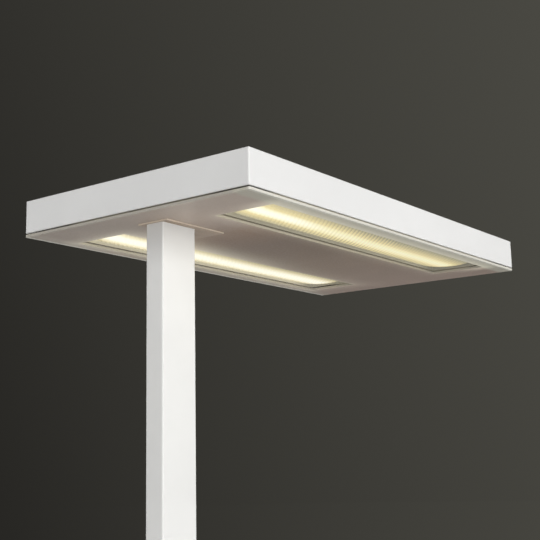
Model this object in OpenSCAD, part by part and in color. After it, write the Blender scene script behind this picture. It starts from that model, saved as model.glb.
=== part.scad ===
// Office floor lamp: a flat head with two lit windows on a rectangular post and a steel base.
// Millimetres. X runs along the head, away from the post, and Z is up. The origin is on the
// floor, below the middle of the head.

/* [Overall] */
// Height of the lamp, floor to the head's upper rim
overall_h = 1950; // [1700:10:2100]

/* [Head frame] */
// Length of the head
head_len = 670; // [640:5:800]
// Width of the head
head_w = 364; // [350:2:460]
// Height of the head's walls
wall_h = 42; // [40:1:56]
// Thickness of the head's walls
wall_t = 2; // [1.6:0.2:2.4]
// Outside radius of the head's upright corners
corner_r = 2; // [1:0.5:6]
// Bevel along the walls' upper and lower edges
wall_bevel = 0.8; // [0.4:0.1:1.2]
// Depth of the frame bars, walls included
bar_w = 10; // [9.5:0.5:12]
// Thickness of the ledges inside the frame bars
ledge_t = 2; // [1.5:0.5:2.5]
// Height of the lower ledge's underside above the walls' lower edge
ledge_z = 3; // [2:0.5:4]
// Depth of the upper ledge below the rim
top_recess = 5; // [4.6:0.2:6]
// Thickness of the tray and the top panel
sheet_t = 1.2; // [0.8:0.1:1.4]

/* [Corner keys] */
// Length of a key's leg
key_len = 30; // [24:1:40]
// Thickness of a key
key_t = 3.5; // [3:0.5:4]
// Height of a key
key_h = 17; // [14:1:18]
// Lip of the channel that holds a key
key_lip = 3; // [2:0.5:4]
// Diameter of the grub screws
grub_d = 4; // [3:0.5:5]

/* [Underside plate] */
// Thickness of the clear plate
plate_t = 3; // [2:0.5:4]
// Shadow gap between the plate and the walls
plate_gap = 2; // [1:0.5:3]
// Width of a window
window_w = 85; // [76:1:88]
// Distance of the windows from the head's end at the post
window_end = 70; // [68:1:80]
// Distance of the windows from the head's far end
window_far = 63; // [50:1:80]
// Distance of a window from the head's long side
window_side = 21.5; // [20:0.5:26]
// Length of the cut-out round the post
mount_len = 106; // [90:1:120]
// Width of the cut-out round the post
mount_w = 48; // [42:1:56]
// Distance of that cut-out from the head's end
mount_end = 42; // [38:1:44]
// Height by which the cover round the post stands proud of the plate
cover_drop = 1.5; // [0.5:0.5:2.5]
// Diameter of the studs bonded to the plate
stud_d = 4; // [3:0.5:5]

/* [Diffusers] */
// Length of a bowl's rounded end
bowl_end = 60; // [40:5:90]
// Depth of a bowl below its flange
bowl_depth = 7.7; // [5:0.1:8]
// Thickness of a bowl and its flange
bowl_t = 1.5; // [1:0.1:2]
// Width of the flange round a bowl
bowl_flange = 4; // [3:0.5:5]

/* [Reflectors] */
// Thickness of a reflector's sheet
reflector_t = 0.8; // [0.6:0.1:1]
// Width of a reflector's slot above the lamp
slot_w = 60; // [54:1:66]
// Height of a reflector
reflector_h = 28; // [25:0.5:29]

/* [Lamps] */
// Diameter of a lamp's tubes
tube_d = 17.5; // [15:0.5:18]
// Distance between a lamp's two tubes
tube_pitch = 25; // [22:0.5:26]
// Length of a lamp's cap
cap_len = 26; // [20:1:34]
// Height of the lamps above the walls' lower edge
lamp_z = 21; // [20:0.5:23]
// Gap between a lamp's far end and its reflector
lamp_gap = 9; // [6:1:16]

/* [Gear] */
// Length of the ballast
ballast_len = 360; // [280:5:380]
// Width of the ballast and the control unit
ballast_w = 40; // [30:1:44]
// Height of the ballast and the control unit
ballast_h = 22; // [18:1:26]
// Length of the control unit
control_len = 140; // [90:5:180]

/* [Top covers] */
// Inset of the opening under a top cover from the window below it
hatch_in = 0.5; // [0.5:0.5:3]
// Thickness of a top cover
lid_t = 3; // [2:0.5:3]
// Overlap of a top cover on the top panel
lid_lap = 8; // [5:0.5:10]

/* [Post] */
// Length of the post's section, along X
post_l = 58; // [54:1:70]
// Width of the post's section, along Y
post_w = 27.5; // [25:0.5:32]
// Wall thickness of the post
post_wall = 2.2; // [1.8:0.1:2.6]
// Outside radius of the post's corners
post_r = 2; // [1:0.5:4]
// Distance from the head's end to the post
post_end = 46; // [45:0.5:50]
// Diameter of the screw ports' bore in the post
port_d = 5.6; // [5:0.1:6]
// Wall thickness of the screw ports
port_wall = 1.8; // [1.4:0.1:2]
// Thickness of the webs inside the post
web_t = 1.6; // [1.2:0.1:2]

/* [Base] */
// Length of the base plate
base_len = 440; // [380:5:520]
// Width of the base plate
base_w = 320; // [260:5:348]
// Thickness of the base plate
base_t = 10; // [8:0.5:14]
// Corner radius of the base plate
base_r = 12; // [6:1:30]
// Bevel along the base plate's upper edge
base_bevel = 1.5; // [0.5:0.5:3]
// Distance from the base plate's rear edge to the post's middle
base_rear = 68; // [60:1:72]
// Diameter of the rubber pads
pad_d = 28; // [20:1:40]
// Height of the rubber pads
pad_h = 3; // [2:0.5:5]
// Height of the collar round the post's foot
collar_h = 12; // [8:1:20]
// Width of the collar round the post
collar_rim = 7; // [5:0.5:10]

/* [Switch] */
// Height of the switch above the floor
switch_z = 1050; // [900:10:1300]
// Diameter of the buttons
button_d = 15; // [12:0.5:16]
// Distance between the buttons
button_pitch = 26; // [22:1:30]
// Travel of a button
button_travel = 1.5; // [1:0.1:2]
// Thickness of the switch bezel
bezel_t = 2; // [1.5:0.5:3]
// Height of the cable gland above the floor
gland_z = 62; // [50:1:90]
// Diameter of the cable gland's bore
gland_bore = 7.4; // [6:0.2:9]

/* [Hidden] */

$fn = 48;
EPS = 0.01;   // overshoot of a cut
FIT = 0.5;    // loose fit of sheet parts
SEAM = 0.3;   // seam round the post
RUN = 0.08;   // radial clearance of a sliding button
SCREW = 0.1;  // radial clearance of a screw in its hole
OVER = 1;     // how far a block that only cuts stands out
GRIP = 2;     // how far a screw runs on past the sheet it holds
SOCKET = 0.6; // width of a screw's socket as a share of its thread

WHITE = [0.93, 0.93, 0.92];
SHEET = [0.86, 0.86, 0.85];
CLEAR = [0.66, 0.64, 0.62];
LIT = [1, 0.96, 0.84];
STEEL = [0.62, 0.63, 0.65];
DARK = [0.16, 0.16, 0.17];

// Levels
head_z = overall_h - wall_h;
tray_z = head_z + ledge_z + ledge_t;
tray_top = tray_z + sheet_t;
plate_top = head_z - plate_gap;
plate_z = plate_top - plate_t;
panel_z = overall_h - top_recess;
panel_top = panel_z + sheet_t;
base_z = pad_h;
base_top = base_z + base_t;

// Places along the head
end_x = head_len / 2;
side_y = head_w / 2;
post_x = -end_x + post_end + post_l / 2;
window_len = head_len - window_end - window_far;
window_x = -end_x + window_end + window_len / 2;
window_y = side_y - window_side - window_w / 2;
mount_x = -end_x + mount_end + mount_len / 2;
base_x = post_x - base_rear + base_len / 2;
strip_w = 2 * (window_y - window_w / 2);

// Top covers
hatch_len = window_len - 2 * hatch_in;
hatch_w = window_w - 2 * hatch_in;
skirt_h = sheet_t + 1;
skirt_t = 2;
lid_r = 3;
notch_d = 14;

// Frame bars
screw_in = (wall_t + bar_w) / 2;
key_gap = 0.1;
rib_t = 1.5;
grub_places = [0.45, 0.8];
grub_proud = 0.6;
key_u = wall_t + key_gap;
channel_u = key_u + key_t + key_gap;
channel_h = key_h + 2 * key_gap;

// Screws: thread diameter, head diameter, head height
M3 = [3, 5.6, 1.8];
M4 = [4, 7.2, 2.4];
M6 = [6, 12, 3];
PORT = [port_d, 9, 3];
LOW = [3, 5.6, 1.2];

// Bracket
bracket_t = 3;
bracket_rib = 12;
bracket_arm = 32;
bracket_w = 80;
bracket_len = 0.26 * head_len;
bracket_x = -end_x + wall_t + FIT;
bracket_hole = 12;
key_z = ledge_z + ledge_t + sheet_t + bracket_t + M4[2] + FIT + rib_t + channel_h / 2;

// Post section
port_in = 0.6;
port_x = post_l / 2 - post_wall - port_d / 2 - port_in;
port_y = post_w / 2 - post_wall - port_d / 2 - port_in;
chamber_w = 22;
web_x = (chamber_w + web_t) / 2;
port_points = [for (sx = [-1, 1], sy = [-1, 1]) [sx * port_x, sy * port_y]];
post_depth = 24;
gland_neck_d = gland_bore + 4;
gland_flange_d = gland_neck_d + 6;
gland_flange_h = 4;
gland_taper = 3;
gland_reach = 5;
gland_nut_d = gland_neck_d + 5;
gland_nut_h = 3.5;
collar_r = 4;
collar_bevel = 1.5;

// Lamp well
bowl_gap = 1;
reflector_len = window_len + 2 * (bowl_flange + FIT + reflector_t);
reflector_w = window_w + 2 * (bowl_flange + FIT + reflector_t);
tab_len = 8;
tab_y = 14;
tab_points = [
    for (w = [-1, 1], e = [-1, 1], t = [-1, 1])
        [window_x + e * (reflector_len + tab_len) / 2, w * window_y + t * tab_y]
];
holder_len = 14;
clip_len = 14;
lamp_x0 = window_x - reflector_len / 2 + reflector_t + holder_len;
lamp_len = reflector_len - 2 * reflector_t - holder_len - lamp_gap;
cap_w = tube_pitch + tube_d + 1;
cap_h = 20;
tube_t = 1.2;
tube_end_r = 4;
bridge_d = 8;
bridge_in = 14;
pin_d = 2.4;
pin_len = 6;
pin_rows = [-10.2, -3.4, 3.4, 10.2];

// Rows of fixings, as shares of the head's length and width
frame_points = concat(
    [for (x = [-0.3, 0, 0.3], s = [-1, 1]) [x * head_len, s * (side_y - screw_in)]],
    [for (s = [-1, 1]) [end_x - screw_in, s * head_w / 4]]
);
bracket_points = [for (y = [-0.39, -0.14, 0.14, 0.39]) [-end_x + screw_in, y * head_w]];
top_points = concat(frame_points, [for (s = [-1, 1]) [-end_x + screw_in, s * head_w / 4]]);
stud_x0 = (bracket_x + bracket_arm + window_x - reflector_len / 2) / 2;
stud_x1 = (end_x - bar_w + window_x + reflector_len / 2) / 2;
stud_points = concat(
    [for (x = [stud_x0, stud_x1], y = [-0.35, -0.16, 0.16, 0.35]) [x, y * head_w]],
    [for (x = [-0.12, 0.2]) [x * head_len, 0]]
);
cover_in = 9;
cover_boss = 7;
cover_points = [
    for (s = [-1, 1]) [mount_x + mount_len / 2 - cover_in, s * (mount_w / 2 - cover_in)]
];
pad_points = [
    for (x = [-1, 0, 1], s = [-1, 1])
        [base_x + x * (base_len / 2 - pad_d), s * (base_w / 2 - pad_d)]
];

// Gear in the middle strip
gear_ear = 10;
gear_ear_t = 2;
gear_y = strip_w / 4 + stud_d;
gear_x = window_x + window_len / 2 - ballast_len / 2;
gear_points = [
    for (p = [[gear_y, ballast_len], [-gear_y, control_len]], s = [-1, 1])
        [gear_x + s * (p[1] - gear_ear) / 2, p[0]]
];
terminal_ways = 5;
terminal_pitch = 8;
terminal_len = 16;
terminal_x = (bracket_x + bracket_len + gear_x - ballast_len / 2 - terminal_len) / 2;

// Switch
face_y = -post_w / 2;
bezel_w = 30;
bezel_h = button_pitch + button_d + 32;
bezel_r = 4;
bezel_bevel = 0.5;
bezel_screw_z = bezel_h / 2 - 7;
button_proud = button_travel + 0.7;
button_flange = 1.2;
button_lip = 1;
mark_ring = 0.8;
mark_deep = 0.4;
switch_depth = 11;
switch_gap = 1;
switch_w = chamber_w - switch_gap;
switch_h = button_pitch + button_d + 6;
ear_w = 10;
ear_t = 4;
ear_z = bezel_screw_z + 4;
button_front = face_y - bezel_t - button_proud;
stem_d = 5;
stem_in = 5;
button_z = [switch_z + button_pitch / 2, switch_z - button_pitch / 2];
lead_d = 5;
flange_y = face_y + 0.2;
switch_front = flange_y + button_flange + button_travel + SEAM;

// ---- Shapes that repeat ----

module rounded_slab(l, w, h, r) {
    linear_extrude(h) union() {
        square([l - 2 * r, w], center = true);
        square([l, w - 2 * r], center = true);
        for (x = [-1, 1], y = [-1, 1])
            translate([x * (l / 2 - r), y * (w / 2 - r)]) circle(r);
    }
}

module bevelled_slab(l, w, h, r, bevel) {
    hull() {
        rounded_slab(l, w, h - bevel, r, $fn = 32);
        rounded_slab(l - 2 * bevel, w - 2 * bevel, h, r - bevel, $fn = 32);
    }
}

module slab(l, w, h) {
    translate([-l / 2, -w / 2, 0]) cube([l, w, h]);
}

module at(points, z) {
    for (p = points) translate([p[0], p[1], z]) children();
}

// A screw whose head stands on z = 0 and whose shank runs down
module pan_screw(size, length) {
    difference() {
        union() {
            cylinder(d = size[1], h = size[2]);
            translate([0, 0, -length]) cylinder(d = size[0], h = length + EPS);
        }
        translate([0, 0, size[2] / 3]) cylinder(d = size[0] * SOCKET, h = size[2], $fn = 6);
    }
}

// A countersunk screw whose head is flush with z = 0 and whose shank runs up
module flush_screw(size, length) {
    difference() {
        union() {
            cylinder(d1 = size[1], d2 = size[0], h = size[2]);
            cylinder(d = size[0], h = length);
        }
        translate([0, 0, -EPS]) cylinder(d = size[0] * SOCKET, h = size[2] * 2 / 3, $fn = 6);
    }
}

module screw_hole(size, height) {
    translate([0, 0, -EPS]) cylinder(r = size[0] / 2 + SCREW, h = height + 2 * EPS);
}

// A closed skin over a stack of outlines that all have the same number of points
module skin(loops) {
    n = len(loops[0]);
    last = len(loops) - 1;
    points = [for (l = loops) each l];
    sides = [
        for (k = [0 : last - 1], i = [0 : n - 1])
            let (j = (i + 1) % n, a = k * n, b = a + n)
            each [[a + i, a + j, b + j], [a + i, b + j, b + i]]
    ];
    first_cap = [for (i = [n - 1 : -1 : 0]) i];
    last_cap = [for (i = [0 : n - 1]) last * n + i];
    polyhedron(points = points, faces = concat(sides, [first_cap, last_cap]), convexity = 4);
}

// ---- Base ----

module base_plate() {
    color(WHITE) difference() {
        translate([base_x, 0, base_z]) bevelled_slab(base_len, base_w, base_t, base_r, base_bevel);
        translate([post_x, 0, 0]) at(port_points, base_z) {
            screw_hole(M6, base_t);
            translate([0, 0, -EPS])
                cylinder(d1 = M6[1] + 2 * SCREW, d2 = port_d + 2 * SCREW, h = M6[2] + EPS);
        }
    }
}

module base_pad(i) {
    color(DARK) translate([pad_points[i][0], pad_points[i][1], 0]) cylinder(d = pad_d, h = pad_h);
}

module base_screws() {
    color(STEEL) translate([post_x, 0, 0]) at(port_points, base_z)
        flush_screw([port_d, M6[1], M6[2]], base_t + post_depth);
}

module foot_collar() {
    color(WHITE) translate([post_x, 0, base_top]) difference() {
        bevelled_slab(
            post_l + 2 * collar_rim, post_w + 2 * collar_rim, collar_h, collar_r, collar_bevel
        );
        translate([0, 0, -EPS])
            rounded_slab(post_l + 2 * SEAM, post_w + 2 * SEAM, collar_h + OVER, post_r + SEAM);
    }
}

// ---- Post ----

module post_section() {
    difference() {
        union() {
            square([post_l - 2 * post_r, post_w], center = true);
            square([post_l, post_w - 2 * post_r], center = true);
            for (x = [-1, 1], y = [-1, 1])
                translate([x * (post_l / 2 - post_r), y * (post_w / 2 - post_r)]) circle(post_r);
        }
        square([chamber_w, post_w - 2 * post_wall], center = true);
        for (s = [-1, 1]) difference() {
            x0 = web_x + web_t / 2;
            x1 = post_l / 2 - post_wall;
            translate([s * (x0 + x1) / 2, 0])
                square([x1 - x0, post_w - 2 * post_wall], center = true);
            for (p = port_points) translate(p) circle(d = port_d + 2 * port_wall);
        }
        for (p = port_points) translate(p) circle(d = port_d);
    }
}

module post() {
    color(WHITE) difference() {
        translate([post_x, 0, base_top]) linear_extrude(tray_top - base_top) post_section();
        translate([post_x - chamber_w / 2, face_y - EPS, switch_z - switch_h / 2 - switch_gap])
            cube([chamber_w, post_wall + 2 * EPS, switch_h + 2 * switch_gap]);
        for (s = [-1, 1]) translate([post_x, face_y - EPS, switch_z + s * bezel_screw_z])
            rotate([-90, 0, 0]) cylinder(r = M3[0] / 2 + SCREW, h = post_wall + 2 * EPS);
        translate([post_x, post_w / 2 - post_wall - EPS, gland_z]) rotate([-90, 0, 0])
            cylinder(d = gland_neck_d + 2 * SCREW, h = post_wall + 2 * EPS);
    }
}

module cable_gland() {
    gland_in = post_wall + gland_reach;
    color(DARK) translate([post_x, post_w / 2, gland_z]) rotate([-90, 0, 0]) difference() {
        union() {
            cylinder(d1 = gland_flange_d, d2 = gland_flange_d - gland_taper, h = gland_flange_h);
            translate([0, 0, -gland_in]) cylinder(d = gland_neck_d, h = gland_in + EPS);
        }
        translate([0, 0, -gland_in - EPS])
            cylinder(d = gland_bore, h = gland_in + gland_flange_h + 2 * EPS);
    }
}

module gland_nut() {
    color(DARK) translate([post_x, post_w / 2 - post_wall, gland_z]) rotate([90, 0, 0])
        difference() {
            cylinder(d = gland_nut_d, h = gland_nut_h, $fn = 6);
            translate([0, 0, -EPS])
                cylinder(d = gland_neck_d + 2 * SCREW, h = gland_nut_h + 2 * EPS);
        }
}

// ---- Switch ----

module switch_bezel() {
    color(SHEET) difference() {
        translate([post_x, face_y, switch_z]) rotate([90, 0, 0])
            bevelled_slab(bezel_w, bezel_h, bezel_t, bezel_r, bezel_bevel);
        for (z = button_z) translate([post_x, face_y + EPS, z]) rotate([90, 0, 0])
            cylinder(r = button_d / 2 + RUN, h = bezel_t + 2 * EPS);
        for (s = [-1, 1])
            translate([post_x, face_y + EPS, switch_z + s * bezel_screw_z])
            rotate([90, 0, 0]) cylinder(r = M3[0] / 2 + SCREW, h = bezel_t + 2 * EPS);
    }
}

module bezel_screws() {
    color(STEEL) for (s = [-1, 1])
        translate([post_x, face_y - bezel_t, switch_z + s * bezel_screw_z])
            rotate([90, 0, 0]) pan_screw(LOW, bezel_t + post_wall + ear_t);
}

module switch_body() {
    color(DARK) difference() {
        union() {
            translate([post_x - switch_w / 2, switch_front, switch_z - switch_h / 2])
                cube([switch_w, switch_depth, switch_h]);
            translate([post_x - ear_w / 2, face_y + post_wall, switch_z - ear_z])
                cube([ear_w, ear_t, 2 * ear_z]);
        }
        for (s = [-1, 1])
            translate([post_x, face_y + post_wall - EPS, switch_z + s * bezel_screw_z])
            rotate([-90, 0, 0]) cylinder(r = M3[0] / 2 + SCREW, h = ear_t + 2 * EPS);
        for (z = button_z) translate([post_x, 0, z]) rotate([-90, 0, 0]) {
            translate([0, 0, face_y])
                cylinder(d = button_d + 2 * button_lip + OVER, h = switch_front - face_y);
            translate([0, 0, switch_front - EPS])
                cylinder(r = stem_d / 2 + RUN, h = stem_in + button_travel + FIT);
        }
    }
}

// The lead from the switch up the post and along the head to the terminal block
module switch_lead() {
    bend = 10;
    top_z = tray_top + bracket_t + bend;
    start_z = switch_z + switch_h / 2;
    color(WHITE) translate([post_x, 0, 0]) {
        translate([0, 0, start_z]) cylinder(d = lead_d, h = top_z - bend - start_z);
        translate([bend, 0, top_z - bend]) rotate([90, 0, 0]) rotate_extrude(angle = -90)
            translate([-bend, 0]) circle(d = lead_d);
        translate([bend, 0, top_z]) rotate([0, 90, 0])
            cylinder(d = lead_d, h = terminal_x - post_x - bend);
    }
}

module button(z, mark) {
    translate([post_x, 0, z]) rotate([-90, 0, 0]) difference() {
        union() {
            translate([0, 0, button_front]) cylinder(d = button_d, h = flange_y - button_front);
            translate([0, 0, flange_y - EPS])
                cylinder(d = button_d + 2 * button_lip, h = button_flange);
            translate([0, 0, flange_y]) cylinder(d = stem_d, h = switch_front - flange_y + stem_in);
        }
        translate([0, 0, button_front - EPS]) difference() {
            cylinder(d = mark, h = mark_deep);
            translate([0, 0, -EPS]) cylinder(d = mark - 2 * mark_ring, h = mark_deep + 2 * EPS);
        }
    }
}

module power_button() {
    color(SHEET) button(button_z[0], button_d / 2);
}

module dimmer_button() {
    color(SHEET) button(button_z[1], button_d / 4);
}

// ---- Head: frame ----

// The bar's section: u runs inwards from the outer face, the second axis runs up
module bar_section() {
    polygon([
        [wall_bevel, 0], [wall_t, 0], [wall_t, wall_h],
        [wall_bevel, wall_h], [0, wall_h - wall_bevel], [0, wall_bevel]
    ]);
    translate([wall_t - EPS, ledge_z]) square([bar_w - wall_t + EPS, ledge_t]);
    translate([wall_t - EPS, wall_h - top_recess - ledge_t])
        square([bar_w - wall_t + EPS, ledge_t]);
    for (s = [-1, 1]) translate([0, key_z]) mirror([0, s > 0 ? 0 : 1]) {
        translate([wall_t - EPS, channel_h / 2]) square([channel_u - wall_t + rib_t, rib_t]);
        translate([channel_u, channel_h / 2 - key_lip]) square([rib_t, key_lip + EPS]);
    }
}

// A mitred bar along X with its outer face at y = -offset
module bar(length, offset) {
    x = length / 2;
    mitre = bar_w + OVER;
    difference() {
        intersection() {
            translate([-x, -offset, head_z])
                rotate([90, 0, 90]) linear_extrude(length) bar_section();
            translate([0, -offset, head_z - OVER]) linear_extrude(wall_h + 2 * OVER)
                polygon([[-x, 0], [x, 0], [x - mitre, mitre], [mitre - x, mitre]]);
        }
        for (s = [-1, 1])
            translate([s * x, -offset, head_z - OVER]) mirror([s > 0 ? 1 : 0, 0]) corner_cut();
    }
}

// What rounding takes off a square corner at the origin
module corner_cut() {
    linear_extrude(wall_h + 2 * OVER) difference() {
        translate([-OVER, -OVER]) square(corner_r + OVER);
        translate([corner_r, corner_r]) circle(corner_r);
    }
}

module frame_holes(points) {
    at(points, tray_z - ledge_t) screw_hole(M3, ledge_t);
    at(points, panel_z - ledge_t) screw_hole(M3, ledge_t);
}

module frame_front() {
    color(WHITE) difference() {
        bar(head_len, side_y);
        frame_holes(frame_points);
    }
}

module frame_back() {
    color(WHITE) difference() {
        rotate([0, 0, 180]) bar(head_len, side_y);
        frame_holes(frame_points);
    }
}

module frame_post_end() {
    color(WHITE) difference() {
        rotate([0, 0, -90]) bar(head_w, end_x);
        at(top_points, panel_z - ledge_t) screw_hole(M3, ledge_t);
        at(bracket_points, tray_z - ledge_t) screw_hole(M4, ledge_t);
    }
}

module frame_far_end() {
    color(WHITE) difference() {
        rotate([0, 0, 90]) bar(head_w, end_x);
        frame_holes(frame_points);
    }
}

// The corner at quarter i, with its outer faces along +X and +Y from the origin
module at_corner(i) {
    sx = i % 2 == 0 ? 0 : 1;
    sy = i < 2 ? 0 : 1;
    mirror([sx, 0]) mirror([0, sy]) translate([-end_x, -side_y, head_z + key_z]) children();
}

module at_grubs() {
    for (u = grub_places, turn = [0, 1]) mirror([turn, -turn, 0])
        translate([key_u + u * key_len, wall_t, 0]) rotate([-90, 0, 0]) children();
}

module corner_key(i) {
    color(STEEL) at_corner(i) difference() {
        translate([key_u, key_u, -key_h / 2]) union() {
            cube([key_len, key_t, key_h]);
            cube([key_t, key_len, key_h]);
        }
        at_grubs() cylinder(r = grub_d / 2 + SCREW, h = key_t + OVER);
    }
}

module key_screws() {
    color(DARK) for (i = [0 : 3]) at_corner(i) at_grubs() difference() {
        cylinder(d = grub_d, h = key_t + grub_proud);
        translate([0, 0, key_t / 2]) cylinder(d = grub_d * SOCKET, h = key_t, $fn = 6);
    }
}

// ---- Head: bracket ----

module head_bracket() {
    arm_w = head_w - 2 * (wall_t + FIT);
    color(STEEL) difference() {
        translate([bracket_x, 0, tray_top]) {
            translate([0, -arm_w / 2, 0]) cube([bracket_arm, arm_w, bracket_t]);
            translate([0, -bracket_w / 2, 0]) cube([bracket_len, bracket_w, bracket_t]);
            for (s = [-1, 1]) translate([bar_w, s * (bracket_w - bracket_t) / 2 - bracket_t / 2, 0])
                cube([bracket_len - bar_w, bracket_t, bracket_rib]);
        }
        translate([post_x, 0, 0]) at(port_points, tray_top) screw_hole(PORT, bracket_t);
        translate([post_x, 0, tray_top - EPS]) cylinder(d = bracket_hole, h = bracket_t + 2 * EPS);
        at(bracket_points, tray_top) screw_hole(M4, bracket_t);
        at(cover_points, tray_top) screw_hole(M3, bracket_t);
    }
}

module post_screws() {
    color(STEEL) translate([post_x, 0, 0]) at(port_points, tray_top + bracket_t)
        pan_screw(PORT, bracket_t + post_depth);
}

module bracket_screws() {
    color(STEEL) at(bracket_points, tray_top + bracket_t)
        pan_screw(M4, bracket_t + sheet_t + ledge_t + GRIP);
}

// ---- Head: tray and underside ----

module each_window() {
    for (s = [-1, 1]) translate([window_x, s * window_y, 0]) children();
}

module inner_sheet(z) {
    translate([0, 0, z]) slab(head_len - 2 * (wall_t + FIT), head_w - 2 * (wall_t + FIT), sheet_t);
}

module tray() {
    color(SHEET) difference() {
        union() {
            inner_sheet(tray_z);
            each_window() translate([0, 0, head_z])
                slab(window_len + 2 * sheet_t, window_w + 2 * sheet_t, tray_z - head_z + EPS);
        }
        each_window() translate([0, 0, head_z - OVER])
            slab(window_len, window_w, tray_top - head_z + 2 * OVER);
        translate([post_x, 0, tray_z - EPS])
            slab(post_l + 2 * FIT, post_w + 2 * FIT, sheet_t + 2 * EPS);
        at(frame_points, tray_z) screw_hole(M3, sheet_t);
        at(bracket_points, tray_z) screw_hole(M4, sheet_t);
        at(cover_points, tray_z) screw_hole(M3, sheet_t);
        at(gear_points, tray_z) screw_hole(M3, sheet_t);
        at(stud_points, tray_z) screw_hole([stud_d], sheet_t);
        at(tab_points, tray_z) screw_hole(M3, sheet_t);
    }
}

module tray_screws() {
    color(STEEL) at(frame_points, tray_top) pan_screw(M3, sheet_t + ledge_t);
}

module underside_plate() {
    color(CLEAR) difference() {
        translate([0, 0, plate_z]) rounded_slab(head_len, head_w, plate_t, corner_r);
        translate([0, 0, plate_z - OVER]) {
            each_window() slab(window_len, window_w, plate_t + 2 * OVER);
            translate([mount_x, 0, 0]) slab(mount_len, mount_w, plate_t + 2 * OVER);
        }
    }
}

module plate_studs() {
    color(STEEL) at(stud_points, plate_top) {
        cylinder(d = 2 * stud_d, h = tray_z - plate_top - GRIP);
        cylinder(d = stud_d, h = tray_top - plate_top + 2 * GRIP);
    }
}

module stud_nuts() {
    color(DARK) at(stud_points, tray_top) difference() {
        cylinder(d = 2 * stud_d + OVER, h = GRIP);
        translate([0, 0, -EPS]) cylinder(r = stud_d / 2 + SCREW, h = GRIP + 2 * EPS);
    }
}

module mount_cover() {
    cover_z = plate_z - cover_drop;
    cover_t = 1.5;
    cover_len = mount_len - 2 * FIT;
    cover_w = mount_w - 2 * FIT;
    color(SHEET) difference() {
        translate([mount_x, 0, cover_z]) slab(cover_len, cover_w, tray_z - cover_z);
        difference() {
            translate([mount_x, 0, cover_z + cover_t])
                slab(cover_len - 2 * cover_t, cover_w - 2 * cover_t, tray_z - cover_z);
            at(cover_points, cover_z) cylinder(d = cover_boss, h = tray_z - cover_z);
        }
        translate([post_x, 0, cover_z - EPS])
            rounded_slab(post_l + 2 * SEAM, post_w + 2 * SEAM, wall_h, post_r + SEAM);
        at(cover_points, cover_z + cover_t) cylinder(r = M3[0] / 2 + SCREW, h = wall_h);
    }
}

module cover_screws() {
    color(STEEL) at(cover_points, tray_top + bracket_t)
        pan_screw(M3, bracket_t + sheet_t + 2 * GRIP);
}

// ---- Head: light ----

// An outline with straight sides and two elliptic ends
function bowl_outline(half_len, half_w, round_len, z) = [
    for (s = [1, -1], t = [-90 : 15 : 90])
        [s * (half_len - round_len + round_len * cos(t)), s * half_w * sin(t), z]
];

// A rectangle with one point for each point of the outline above
function flange_outline(half_len, half_w, round_len, z) = [
    for (s = [1, -1], t = [-90 : 15 : 90])
        abs(t) > 45
            ? [s * (half_len - round_len * (1 - 1 / abs(tan(t)))), s * half_w * sign(t), z]
            : [s * half_len, s * half_w * tan(t), z]
];

function bowl_loops(half_len, half_w, depth, z, angles) = [
    for (a = angles)
        let (c = pow(cos(a), 0.8), d = pow(sin(a), 0.8))
        bowl_outline(half_len - bowl_end + bowl_end * c, half_w * c, bowl_end * c, z - depth * d)
];

module diffuser(s) {
    half_len = window_len / 2 - bowl_gap;
    half_w = window_w / 2 - bowl_gap;
    flange_len = window_len / 2 + bowl_flange;
    flange_w = window_w / 2 + bowl_flange;
    inside = bowl_loops(half_len - bowl_t, half_w - bowl_t, bowl_depth, bowl_t, [78 : -13 : 0]);
    outside = bowl_loops(half_len, half_w, bowl_depth, 0, [0 : 13 : 78]);
    color(LIT) translate([window_x, s * window_y, tray_top])
        skin(concat(
            inside,
            [flange_outline(flange_len, flange_w, flange_w, bowl_t)],
            [flange_outline(flange_len, flange_w, flange_w, 0)],
            outside
        ));
}

module reflector(s) {
    color(SHEET) difference() {
        translate([window_x, s * window_y, tray_top]) {
            difference() {
                reflector_block(reflector_len, reflector_w, slot_w + 2 * reflector_t, 0, 0);
                reflector_block(
                    reflector_len - 2 * reflector_t, reflector_w - 2 * reflector_t, slot_w, EPS, EPS
                );
            }
            for (e = [-1, 1], t = [-1, 1])
                translate([e * (reflector_len / 2 + tab_len / 2 - EPS), t * tab_y, 0])
                    slab(tab_len, tab_len, reflector_t);
        }
        at(tab_points, tray_top) screw_hole(M3, reflector_t);
    }
}

module reflector_screws() {
    color(STEEL) at(tab_points, tray_top + reflector_t)
        pan_screw(M3, reflector_t + sheet_t + GRIP);
}

// A trough's block: upright ends, and sides that lean in above the diffuser's flange
module reflector_block(length, foot_w, upper_w, below, above) {
    foot_h = bowl_t + FIT;
    translate([-length / 2, 0, 0]) rotate([90, 0, 90]) linear_extrude(length) polygon([
        [-foot_w / 2, -below], [foot_w / 2, -below], [foot_w / 2, foot_h],
        [upper_w / 2, reflector_h + above], [-upper_w / 2, reflector_h + above],
        [-foot_w / 2, foot_h]
    ]);
}

module at_lamp(s) {
    translate([lamp_x0, s * window_y, head_z + lamp_z]) children();
}

// A glass tube with a rounded far end
module tube(length) {
    rotate([0, 90, 0]) rotate_extrude() difference() {
        tube_outline(tube_d / 2, length, tube_end_r);
        tube_outline(tube_d / 2 - tube_t, length - tube_t, tube_end_r - tube_t);
    }
}

module tube_outline(r, length, round_r) {
    square([r, length - round_r]);
    square([r - round_r, length]);
    translate([r - round_r, length - round_r]) intersection() {
        circle(round_r);
        square(round_r);
    }
}

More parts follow.
